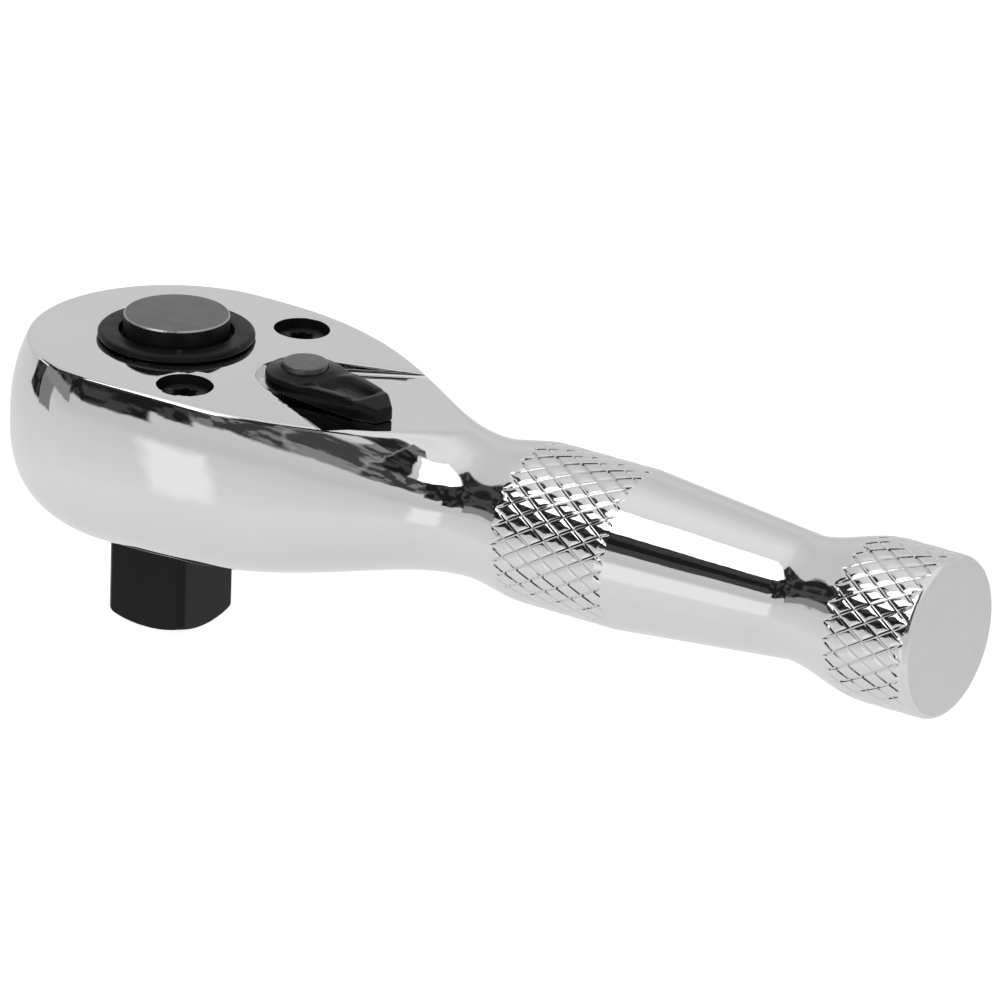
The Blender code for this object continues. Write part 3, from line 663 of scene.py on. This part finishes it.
def close_band(bm, band):
    """Trims the band's ends, then turns the edges inwards and joins them into a ring."""
    for place, side in zip(band, (-1, 1)):
        geometry = bm.verts[:] + bm.edges[:] + bm.faces[:]
        bmesh.ops.bisect_plane(bm, geom=geometry, plane_co=(place, 0, 0), dist=1e-5,
                               plane_no=(side, 0, 0), clear_outer=True)
    rims = []
    for place in band:
        edges = [e for e in bm.edges if e.is_boundary and
                 all(abs(v.co.x - place) < 1e-3 for v in e.verts)]
        made = bmesh.ops.extrude_edge_only(bm, edges=edges)["geom"]
        for v in (g for g in made if isinstance(g, bmesh.types.BMVert)):
            arm = Vector((v.co.y, v.co.z - HANDLE_AXIS_Z))
            arm *= (arm.length - KNURL_BACK) / arm.length
            v.co = (v.co.x, arm.x, HANDLE_AXIS_Z + arm.y)
        rims += [g for g in made if isinstance(g, bmesh.types.BMEdge) and g.is_boundary]
    bmesh.ops.bridge_loops(bm, edges=rims)


def build_knurl(name, band, looks):
    bm = bmesh.new()
    pitch_turn = 2 * pi / KNURL_STARTS
    band_r = FRONT_BAND[2]
    pitch_x = pitch_turn * band_r / tan(KNURL_ANGLE)
    half_x = pitch_x / 2
    half_turn = pitch_turn / 2
    columns = int((band[1] - band[0]) / half_x) + 3
    for column in range(-1, columns):
        x = band[0] + column * half_x
        for k in range(KNURL_STARTS):
            add_cell(bm, x, (k + 0.5 * (column % 2)) * pitch_turn, half_x, half_turn, band)
    bmesh.ops.remove_doubles(bm, verts=bm.verts, dist=1e-3)
    close_band(bm, band)
    ring = dressed(finished(bm, name), [looks["chrome"]], 24.0)
    return on_body(ring, "housing", "chrome")


# ---------------------------------------------------------------- drive and quick release


def gear_outline():
    points = []
    for k in range(2 * TEETH):
        r = GEAR_TIP_R - TOOTH_DEPTH * (k % 2)
        points.append((r * cos(k * pi / TEETH), r * sin(k * pi / TEETH)))
    return points


def square_loop(z, steps=288):
    """The square's outline at height z: turned corners and a turned end."""
    share = min(z / SQUARE_CHAMFER, 1)
    dome = SQUARE_END_R + (SQUARE_CORNER_R - SQUARE_END_R) * sin(share * pi / 2)
    loop = []
    for k in range(steps):
        turn = 2 * pi * (k + 0.5) / steps
        flat = SQUARE_HALF / max(abs(cos(turn)), abs(sin(turn)))
        r = smooth_min(flat, SQUARE_CORNER_R, SQUARE_BLEND)
        r = smooth_min(r, dome, SQUARE_BLEND)
        loop.append((r * cos(turn), r * sin(turn), z))
    return loop


def build_drive(looks):
    heights = [*evenly(0.0, SQUARE_CHAMFER, 16), SQUARE_CHAMFER + 0.3, HUB_BOTTOM_Z + 1]
    shrink = SQUARE_END_SHRINK
    end_ring = [(x * shrink, y * shrink, 0.0) for x, y, _ in square_loop(0.0)]
    loops = [end_ring, *[square_loop(z) for z in heights[1:]]]
    drive = finished(stacked(loops), "square_drive")
    spindle = rounded([
        (0.0, HEAD_TOP_Z),
        (SPINDLE_NECK_R, HEAD_TOP_Z),
        (SPINDLE_NECK_R, SPINDLE_NECK_Z),
        (SPINDLE_R, SPINDLE_NECK_Z),
        (SPINDLE_R, GEAR_Z[1] - 1),
        (HUB_R, GEAR_Z[0] + 1),
        (HUB_R, HUB_BOTTOM_Z),
        (0.0, HUB_BOTTOM_Z),
    ], {6: 0.4})
    well_r, well_z = BUTTON_WELL
    pin_r, pin_z = PIN_BORE
    bore = [
        (0.0, HEAD_TOP_Z + 2),
        (well_r, HEAD_TOP_Z + 2),
        (well_r, well_z),
        (pin_r, well_z),
        (pin_r, pin_z),
        (0.0, pin_z),
    ]
    cut(drive, [
        (turned(spindle, 96), "UNION"),
        (prism(gear_outline(), *GEAR_Z), "UNION"),
        (turned(bore, 64), "DIFFERENCE"),
        (level_rod(BALL_HOLE_R, *BALL_HOLE_SPAN, BALL_Z, 48), "DIFFERENCE"),
    ])
    dressed(drive, [looks["black_oxide"]], 28.0)
    return on_body(drive, "drive", "black_oxide", "drive_gear")


def build_collar(looks):
    inner, outer = COLLAR_R
    low, high = COLLAR_Z
    skirt_in, skirt_out = COLLAR_SKIRT_R
    foot = SPINDLE_NECK_Z + 0.3
    profile = rounded([
        (inner, high),
        (outer, high),
        (outer, low),
        (skirt_out, low),
        (skirt_out, foot),
        (skirt_in, foot),
        (skirt_in, low),
        (inner, low),
    ], {0: 0.08, 1: 0.4, 2: 0.2})
    collar = dressed(finished(turned(profile, 160), "button_collar"), [looks["black_satin"]])
    return on_body(collar, "drive", "black_oxide", "spindle_collar")


def build_button(looks):
    flange_r, low, high = BUTTON_FLANGE
    socket_r, socket_z = BUTTON_SOCKET
    rim = BUTTON_R - BUTTON_EDGE
    profile = rounded([
        (0.0, BUTTON_TOP_Z),
        (rim, BUTTON_TOP_Z),
        (BUTTON_R, BUTTON_TOP_Z - BUTTON_EDGE),
        (BUTTON_R, high),
        (flange_r, high),
        (flange_r, low),
        (socket_r, low),
        (socket_r, socket_z),
        (0.0, socket_z),
    ], {1: 0.07, 2: 0.1, 4: 0.1})
    button = finished(turned(profile, 160), "push_button")
    dressed(button, [looks["black_satin"], looks["turned_cap"], looks["bare_steel"]], 40.0)
    on_top = 1
    on_edge = 2
    for face in button.data.polygons:
        drop = BUTTON_TOP_Z - face.center.z / MM
        if drop < BUTTON_EDGE * 0.1:
            face.material_index = on_top
        elif drop < BUTTON_EDGE * 0.8:
            face.material_index = on_edge
    return on_body(button, "release", "blackened_cap", "release_button")


# ---------------------------------------------------------------- screws and lever


def build_screw(name, node, y, looks):
    head_r, head_top = SCREW_HEAD
    seat = SCREW_SEAT_Z + SCREW_HEAD_GAP
    profile = rounded([
        (0.0, head_top),
        (head_r, head_top),
        (head_r, seat),
        (SCREW_SHANK_R, seat),
        (SCREW_SHANK_R, SCREW_END_Z),
        (0.0, SCREW_END_Z),
    ], {1: 0.45, 4: 0.25})
    screw = finished(turned(profile, 64, (SCREW_X, y)), name)
    socket = []
    for k in range(60):
        turn = 2 * pi * k / 60
        r = SCREW_SOCKET_R + SCREW_SOCKET_LOBE * cos(SCREW_SOCKET_LOBES * turn)
        socket.append((r * cos(turn), r * sin(turn)))
    loops = []
    for grow, rise in SCREW_SOCKET_STEPS:
        size = 1 + grow
        loops.append([(SCREW_X + px * size, y + py * size, head_top + rise) for px, py in socket])
    cut(screw, [(stacked(loops), "DIFFERENCE")])
    dressed(screw, [looks["black_oxide"]])
    return on_body(screw, "housing", "black_oxide", node)


def lever_half_width(u):
    """Half-width of the lever's outline at u: hub, straight taper, then a cut corner."""
    shoulder_u, shoulder_v = LEVER_SHOULDER
    tip_u, tip_v = LEVER_TIP
    touch = atan2(shoulder_v, shoulder_u) + acos(LEVER_HUB_R / hypot(shoulder_u, shoulder_v))
    if u < LEVER_HUB_R * cos(touch):
        return max(LEVER_HUB_R**2 - u * u, 0.0) ** 0.5
    side = shoulder_v + (shoulder_u - u) / tan(touch)
    corner = tip_v + (tip_u - u) * (shoulder_v - tip_v) / (tip_u - shoulder_u)
    return smooth_min(side, corner, LEVER_CORNER_BLEND)


def lever_top(u, v):
    """Height of the lever's upper face above the head's top, over (u, v) on the lever.

    The face runs from the hub's low cone into a blade whose rim rises outwards round a dish.
    """
    low, high = LEVER_RIM
    radius = hypot(u, v)
    across = abs(v) / max(lever_half_width(u), 0.5)
    hub = low + LEVER_HUB_RISE * (1 - smooth(LEVER_CAP_R, LEVER_HUB_R, radius))
    rim = low + (high - low) * smooth(2.0, 10.0, u) + LEVER_KICK * smooth(9.6, 10.6, u)
    ridge = LEVER_RIDGE * smooth(0.35, 0.7, across)
    ridge *= smooth(2.6, 5.0, u)
    ridge *= 1 - smooth(9.4, 10.4, u)
    bowl = smooth(3.2, 5.2, u) * (1 - smooth(9.7, 10.35, u)) * (1 - smooth(0.30, 0.74, across))
    blade = rim + ridge - LEVER_DISH_DEPTH * bowl
    past_shoulder = max(u - LEVER_SHOULDER[0], 0.0)
    blade -= LEVER_TIP_DROP * past_shoulder / (LEVER_TIP[0] - LEVER_SHOULDER[0])
    return hub + (blade - hub) * smooth(2.2, 4.2, u)


def lever_loop(u):
    """Closed cross-section of the lever at u, with rounded upper and lower edges."""
    width = max(lever_half_width(u), 0.02)
    bottom = LEVER_BOTTOM_Z - HEAD_TOP_Z
    edge = min(LEVER_EDGE, width * 0.6)
    foot = min(LEVER_FOOT, width * 0.4)
    loop = [(t * (width - edge), lever_top(u, t * (width - edge))) for t in evenly(-1, 1, 36)]
    half = len(loop)
    side_top = loop[-1][1]
    for a in evenly(0.0, pi / 2, 5)[1:]:
        loop.append((width - edge + edge * sin(a), side_top - edge * (1 - cos(a))))
    for a in evenly(0.0, pi / 2, 3):
        loop.append((width - foot * (1 - cos(a)), bottom + foot * (1 - sin(a))))
    mirrored = [(-v, z) for v, z in reversed(loop[half:])]
    return [(u, v, HEAD_TOP_Z + z) for v, z in loop + mirrored]


def build_lever(looks):
    hub = [LEVER_HUB_R * cos(a) for a in evenly(pi - LEVER_NOSE_START, pi / 2, 18)]
    tip = LEVER_TIP[0]
    near_shoulder = LEVER_SHOULDER[0] - LEVER_SHOULDER_RUN
    blade = evenly(0.0, near_shoulder, 72)[1:] + evenly(near_shoulder, tip, 20)[1:]
    loops = [lever_loop(u) for u in hub + blade]
    end = loops[-1]
    middle = (LEVER_BOTTOM_Z + HEAD_TOP_Z) / 2
    for inset in LEVER_END_INSETS:
        out = tip + inset * (LEVER_END_BULGE - inset)
        keep = 1 - inset
        loops.append([(out, v * keep, middle + (z - middle) * keep) for _, v, z in end])
    lever = finished(stacked(loops), "thumb_lever")
    hole = rod(LEVER_CAP_R + LEVER_CAP_GAPS[0], LEVER_BOTTOM_Z - 1, HEAD_TOP_Z + 2, 64)
    cut(lever, [(hole, "DIFFERENCE")])
    place_on_lever_axis(lever)
    dressed(lever, [looks["gloss_black"]], 34.0)
    return on_body(lever, "lever", "gloss_black", "reverse_lever")


def place_on_lever_axis(made):
    """Moves a piece modelled at the origin to the lever's axis, at the lever's rest angle."""
    turn = Matrix.Rotation(LEVER_REST, 4, "Z")
    made.data.transform(Matrix.Translation((LEVER_X * MM, 0, 0)) @ turn)


def build_lever_shaft(looks):
    cam_r, low, high = LEVER_CAM
    profile = rounded([
        (0.0, LEVER_CAP_Z),
        (LEVER_CAP_R, LEVER_CAP_Z),
        (LEVER_CAP_R, high),
        (cam_r, high),
        (cam_r, low),
        (0.0, low),
    ], {1: 0.22})
    shaft = finished(turned(profile, 96), "lever_rivet")
    bore = level_rod(PLUNGER_BORE_R, *PLUNGER_BORE_SPAN, PLUNGER_Z, 32)
    cut(shaft, [(bore, "DIFFERENCE")])
    place_on_lever_axis(shaft)
    dressed(shaft, [looks["turned_cap"]], 40.0)
    return on_body(shaft, "lever", "blackened_cap", "lever_shaft")


# ---------------------------------------------------------------- materials

# Noise scales are per metre of the object, and bump depths are in metres.
COOL_TINT = 1.01
BLACK_SPECULAR = 0.16
WEAR_EDGES = (0.56, 0.72)


class Nodes:
    """Short names for building a node tree."""

    def __init__(self, tree):
        self.tree = tree

    def add(self, kind, **settings):
        node = self.tree.nodes.new(kind)
        for key, value in settings.items():
            setattr(node, key, value)
        return node

    def link(self, source, target):
        self.tree.links.new(source, target)

    def feed(self, socket, value):
        if isinstance(value, bpy.types.NodeSocket):
            self.link(value, socket)
        else:
            socket.default_value = value

    def math(self, operation, a, b=0.0, c=0.0):
        node = self.add("ShaderNodeMath", operation=operation)
        for socket, value in zip(node.inputs, (a, b, c)):
            self.feed(socket, value)
        return node.outputs[0]

    def span(self, value, low, high, to_low=0.0, to_high=1.0):
        node = self.add("ShaderNodeMapRange", interpolation_type="SMOOTHSTEP")
        for socket, given in zip(node.inputs, (value, low, high, to_low, to_high)):
            self.feed(socket, given)
        return node.outputs[0]

    def noise(self, scale, detail=2.0, stretch=None):
        place = self.add("ShaderNodeTexCoord").outputs["Object"]
        if stretch:
            mapping = self.add("ShaderNodeMapping")
            mapping.inputs["Scale"].default_value = stretch
            self.link(place, mapping.inputs["Vector"])
            place = mapping.outputs[0]
        node = self.add("ShaderNodeTexNoise")
        node.inputs["Scale"].default_value = scale
        node.inputs["Detail"].default_value = detail
        self.link(place, node.inputs["Vector"])
        return node.outputs["Fac"]

    def mix(self, factor, a, b):
        node = self.add("ShaderNodeMix", data_type="RGBA")
        self.feed(node.inputs["Factor"], factor)
        for name, value in (("A", a), ("B", b)):
            socket = [s for s in node.inputs if s.name == name and s.type == "RGBA"][0]
            self.feed(socket, value)
        return [s for s in node.outputs if s.type == "RGBA"][0]

    def bump(self, height, distance, under=None):
        node = self.add("ShaderNodeBump")
        node.inputs["Distance"].default_value = distance
        node.inputs["Strength"].default_value = 1.0
        self.link(height, node.inputs["Height"])
        if under is not None:
            self.link(under, node.inputs["Normal"])
        return node.outputs[0]


def grey(value):
    return (value, value, min(value * COOL_TINT, 1.0), 1.0)


def new_look(name, metallic):
    look = bpy.data.materials.new(name)
    look.use_nodes = True
    shader = look.node_tree.nodes["Principled BSDF"]
    shader.inputs["Metallic"].default_value = metallic
    return look, Nodes(look.node_tree), shader


def connect(nodes, shader, colour, rough, normal):
    for name, source in (("Base Color", colour), ("Roughness", rough), ("Normal", normal)):
        nodes.link(source, shader.inputs[name])


def edge_wear(nodes):
    """0 on faces and 1 on convex edges, broken up by fine noise."""
    edges = nodes.add("ShaderNodeNewGeometry").outputs["Pointiness"]
    ragged = nodes.math("MULTIPLY_ADD", nodes.noise(1400.0, 3.0), 0.03, edges)
    return nodes.span(ragged, *WEAR_EDGES)


def chrome_look():
    """Polished chrome with a slow wave, a slight haze and fine lines along the handle."""
    look, nodes, shader = new_look("polished_chrome", 1.0)
    cloud = nodes.noise(90.0, 3.0)
    fine = nodes.noise(2600.0, stretch=(0.25, 1.0, 1.0))
    haze = nodes.span(cloud, 0.35, 0.7, 0.02, 0.045)
    wave = nodes.bump(nodes.noise(230.0), 0.000018)
    connect(
        nodes, shader,
        nodes.mix(cloud, grey(0.83), grey(0.88)),
        nodes.math("MULTIPLY_ADD", fine, 0.02, haze),
        nodes.bump(fine, 0.0000012, wave),
    )
    return look


def end_face_look():
    """Bead-blasted chrome on the handle's end."""
    look, nodes, shader = new_look("blasted_chrome", 1.0)
    grain = nodes.noise(5200.0)
    cloud = nodes.noise(300.0, 3.0)
    connect(
        nodes, shader,
        nodes.mix(cloud, grey(0.74), grey(0.82)),
        nodes.span(grain, 0.3, 0.7, 0.34, 0.5),
        nodes.bump(grain, 0.000012),
    )
    return look


def black_look(name, dark, light, worn, rough):
    """Black oxide or plating: faint mottling, fine grain and rubbed edges."""
    look, nodes, shader = new_look(name, 0.0)
    cloud = nodes.noise(420.0, 4.0)
    grain = nodes.noise(4200.0)
    mottled = nodes.mix(cloud, grey(dark), grey(light))
    connect(
        nodes, shader,
        nodes.mix(edge_wear(nodes), mottled, grey(worn)),
        nodes.span(cloud, 0.3, 0.7, rough - 0.05, rough + 0.07),
        nodes.bump(grain, 0.000004),
    )
    shader.inputs["Specular IOR Level"].default_value = BLACK_SPECULAR
    return look


def turned_cap_look():
    """Blackened steel with a fine straight grain, broken up by a soft cloud."""
    look, nodes, shader = new_look("turned_blackened_steel", 0.85)
    grain = nodes.noise(1500.0, 3.0, (0.12, 1.0, 1.0))
    cloud = nodes.noise(500.0, 3.0)
    tone = nodes.math("MULTIPLY_ADD", grain, 0.75, nodes.math("MULTIPLY", cloud, 0.25))
    connect(
        nodes, shader,
        nodes.mix(nodes.span(tone, 0.3, 0.7), grey(0.15), grey(0.22)),
        nodes.span(grain, 0.3, 0.7, 0.32, 0.46),
        nodes.bump(grain, 0.000005),
    )
    return look


def bare_steel_look():
    """Ground steel with its grain upright."""
    look, nodes, shader = new_look("ground_steel", 1.0)
    grain = nodes.noise(1800.0, 3.0, (1.0, 1.0, 0.15))
    cloud = nodes.noise(250.0, 3.0)
    connect(
        nodes, shader,
        nodes.mix(cloud, grey(0.36), grey(0.5)),
        nodes.span(grain, 0.3, 0.7, 0.2, 0.38),
        nodes.bump(grain, 0.000006),
    )
    return look


def rubber_look():
    look, nodes, shader = new_look("nitrile_rubber", 0.0)
    dust = nodes.noise(900.0, 4.0)
    connect(
        nodes, shader,
        nodes.mix(dust, grey(0.012), grey(0.035)),
        nodes.span(dust, 0.3, 0.7, 0.5, 0.75),
        nodes.bump(dust, 0.00001),
    )
    return look


def make_looks():
    return {
        "chrome": chrome_look(),
        "end_face": end_face_look(),
        "black_oxide": black_look("black_oxide", 0.005, 0.012, 0.05, rough=0.36),
        "black_satin": black_look("satin_black", 0.004, 0.010, 0.04, rough=0.34),
        "gloss_black": black_look("gloss_black", 0.003, 0.007, 0.03, rough=0.2),
        "turned_cap": turned_cap_look(),
        "bare_steel": bare_steel_look(),
        "rubber": rubber_look(),
    }


def dress_cad_nodes(looks):
    """Better materials on the CAD pieces that stay as they are."""
    wanted = {
        "bare_steel": ("pawl_washer", "thrust_washer", "release_spring", "release_pin",
                       "detent_ball", "pawl", "lever_plunger", "lever_spring"),
        "rubber": ("spindle_seal", "hub_seal", "lever_seal"),
    }
    for look, names in wanted.items():
        for name in names:
            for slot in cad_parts[name].material_slots:
                slot.material = looks[look]


# ---------------------------------------------------------------- studio

# What the chrome mirrors, as (azimuth from, to, elevation from, to, softness, level), degrees.
# Azimuth is counted from the camera's side; level is a display grey of a chrome mirror.
ROOM_LEVELS = ((-90, 203), (-60, 207), (-40, 210), (-28, 212), (-16, 204), (-6, 199), (3, 189),
               (12, 193), (20, 197), (36, 191), (50, 198), (62, 212), (72, 220), (90, 214))
ROOM_PATCHES = (
    (-57, -37, -25, -3, 3.0, 228),
    (-124, -104, 8, 15, 2.0, 213),
    (-121, -108, -7, 7.5, 0.7, 47),
    (-108, -95, -8, 5, 0.7, 119),
    (-108, -79, 4, 13, 0.7, 129),
    (-125, -110, 17.5, 28, 1.2, 52),
    (-111, -97, 12.5, 27, 1.0, 58),
    (-104, -78, 11, 36, 1.0, 54),
    (-103, -83, 35, 51, 1.5, 62),
    (-80, -56, 7.5, 35.2, 0.8, 49),
    (-57, -43, 13.5, 35.2, 0.8, 48),
    (-44, -13, 17, 35.2, 1.2, 96),
    (-30, -13, 34, 70, 1.2, 44),
    (-13, -3, 17, 54, 1.0, 105),
    (-13, 4, 54, 74, 1.5, 60),
    (-42, -13, 66, 76, 1.5, 90),
    (-80.5, -36, 35.2, 65, 0.6, 330),
)
ROOM_DARK = 115
ROOM_WAVE_SCALE = 5.0
ROOM_WAVE = 7.0
ROOM_CLUTTER_SCALE = 9.0
ROOM_CLUTTER_EDGE = (0.46, 0.56)
ROOM_CLUTTER = (0.35, 1.5)
CHROME_REFLECTS = 0.86
FLOOR_R = 4000.0
FLOOR_COLOUR = 0.2
FLOOR_GLOW = 0.7
FLOOR_GAP = 0.05
FLOOR_SEEN = 0.96
BACKDROP_SEEN = 1.0

# Soft lamp: metres and watts, turned from the camera's side
LAMP_SIZE = (0.5, 0.35)
LAMP_POWER = 2.0
LAMP_TURN = radians(58)
LAMP_RISE = radians(50)
LAMP_DISTANCE = 0.9


def linear(level):
    """A display grey as scene light, beyond white too."""
    share = level / 255
    if share > 1:
        return share**2.2
    return share / 12.92 if share < 0.04045 else ((share + 0.055) / 1.055) ** 2.4


def patch_mask(nodes, azimuth, elevation, sides):
    """1 in a patch of the room and 0 round it."""
    left, right, low, high, soft = sides
    mask = None
    for value, edge, sign in ((azimuth, left, 1), (azimuth, right, -1),
                              (elevation, low, 1), (elevation, high, -1)):
        step = nodes.span(value, edge - soft * sign, edge + soft * sign)
        mask = step if mask is None else nodes.math("MULTIPLY", mask, step)
    return mask


def studio_light():
    """A grey room with a soft box, read by direction, behind a plain pale backdrop."""
    world = bpy.data.worlds.new("studio")
    world.use_nodes = True
    bpy.context.scene.world = world
    nodes = Nodes(world.node_tree)
    background = world.node_tree.nodes["Background"]
    turn = nodes.add("ShaderNodeVectorRotate", rotation_type="Z_AXIS")
    turn.inputs["Angle"].default_value = -CAMERA_AZIMUTH
    nodes.link(nodes.add("ShaderNodeTexCoord").outputs["Generated"], turn.inputs["Vector"])
    axes = nodes.add("ShaderNodeSeparateXYZ")
    nodes.link(turn.outputs[0], axes.inputs[0])
    to_degrees = 180 / pi
    azimuth = nodes.math("ARCTAN2", axes.outputs[1], axes.outputs[0])
    azimuth = nodes.math("MULTIPLY", azimuth, to_degrees)
    elevation = nodes.math("MULTIPLY", nodes.math("ARCSINE", axes.outputs[2]), to_degrees)
    wave = nodes.noise(ROOM_WAVE_SCALE, 3.0)
    azimuth = nodes.math("MULTIPLY_ADD", wave, ROOM_WAVE, azimuth)
    azimuth = nodes.math("SUBTRACT", azimuth, ROOM_WAVE / 2)
    elevation = nodes.math("MULTIPLY_ADD", wave, -ROOM_WAVE, elevation)
    elevation = nodes.math("ADD", elevation, ROOM_WAVE / 2)
    clutter = nodes.noise(ROOM_CLUTTER_SCALE, 4.0)
    clutter = nodes.span(clutter, *ROOM_CLUTTER_EDGE, *ROOM_CLUTTER)
    level = linear(ROOM_LEVELS[0][1])
    for (low, a), (high, b) in zip(ROOM_LEVELS, ROOM_LEVELS[1:]):
        rise = nodes.span(elevation, low, high, 0.0, linear(b) - linear(a))
        level = nodes.math("ADD", level, rise)
    for *sides, shade in ROOM_PATCHES:
        mask = patch_mask(nodes, azimuth, elevation, sides)
        wanted = linear(shade)
        if shade < ROOM_DARK:
            wanted = nodes.math("MULTIPLY", clutter, wanted)
        gap = nodes.math("SUBTRACT", wanted, level)
        level = nodes.math("MULTIPLY_ADD", mask, gap, level)
    level = nodes.math("DIVIDE", level, CHROME_REFLECTS)
    seen = nodes.add("ShaderNodeLightPath").outputs["Is Camera Ray"]
    nodes.link(nodes.mix(seen, level, grey(BACKDROP_SEEN)), background.inputs["Color"])


def floor_look():
    """Pale floor: light enough to melt into the backdrop, with a faint contact shadow."""
    look, nodes, shader = new_look("pale_floor", 0.0)
    shader.inputs["Base Color"].default_value = (FLOOR_COLOUR, FLOOR_COLOUR, FLOOR_COLOUR, 1)
    shader.inputs["Roughness"].default_value = 0.9
    shader.inputs["Specular IOR Level"].default_value = 0.0
    shader.inputs["Emission Color"].default_value = (1, 1, 1, 1)
    seen = nodes.add("ShaderNodeLightPath").outputs["Is Camera Ray"]
    glow = nodes.math("MULTIPLY_ADD", seen, FLOOR_SEEN - FLOOR_GLOW, FLOOR_GLOW)
    nodes.link(glow, shader.inputs["Emission Strength"])
    return look


def build_floor():
    bm = bmesh.new()
    bmesh.ops.create_circle(bm, cap_ends=True, segments=96, radius=FLOOR_R)
    floor = finished(bm, "studio_floor")
    floor.data.materials.append(floor_look())
    floor.visible_glossy = False
    floor.location.z = -FLOOR_GAP * MM


def add_key_light():
    """A large soft lamp over the camera's left, for gentle modelling on the black pieces."""
    lamp = bpy.data.lights.new("soft_key", "AREA")
    lamp.shape = "RECTANGLE"
    lamp.size, lamp.size_y = LAMP_SIZE
    lamp.energy = LAMP_POWER
    made = bpy.data.objects.new("soft_key", lamp)
    bpy.context.scene.collection.objects.link(made)
    place = direction(CAMERA_AZIMUTH - LAMP_TURN, LAMP_RISE) * LAMP_DISTANCE
    made.location = place
    made.rotation_euler = (-place).to_track_quat("-Z", "Y").to_euler()
    made.visible_glossy = False


def direction(azimuth, elevation):
    return Vector((cos(elevation) * cos(azimuth), cos(elevation) * sin(azimuth), sin(elevation)))


def add_camera():
    data = bpy.data.cameras.new("camera")
    data.lens = CAMERA_LENS
    data.sensor_width = SENSOR
    data.clip_start = 0.01
    data.clip_end = 20.0
    camera = bpy.data.objects.new("camera", data)
    bpy.context.scene.collection.objects.link(camera)
    away = direction(CAMERA_AZIMUTH, CAMERA_ELEVATION)
    camera.location = (Vector(CAMERA_TARGET) + away * CAMERA_DISTANCE) * MM
    aim = (-away).to_track_quat("-Z", "Y").to_matrix() @ Matrix.Rotation(CAMERA_ROLL, 3, "Z")
    camera.rotation_euler = aim.to_euler()
    bpy.context.scene.camera = camera


def main():
    bpy.context.scene.view_settings.view_transform = "Standard"
    looks = make_looks()
    build_body(looks)
    build_cover_plate(looks)
    build_knurl("knurl_front", KNURL_FRONT, looks)
    build_knurl("knurl_rear", KNURL_REAR, looks)
    build_drive(looks)
    build_collar(looks)
    build_button(looks)
    build_screw("head_screw_left", "cover_screw_left", SCREW_Y, looks)
    build_screw("head_screw_right", "cover_screw_right", -SCREW_Y, looks)
    build_lever(looks)
    build_lever_shaft(looks)
    dress_cad_nodes(looks)
    studio_light()
    build_floor()
    add_key_light()
    add_camera()


main()
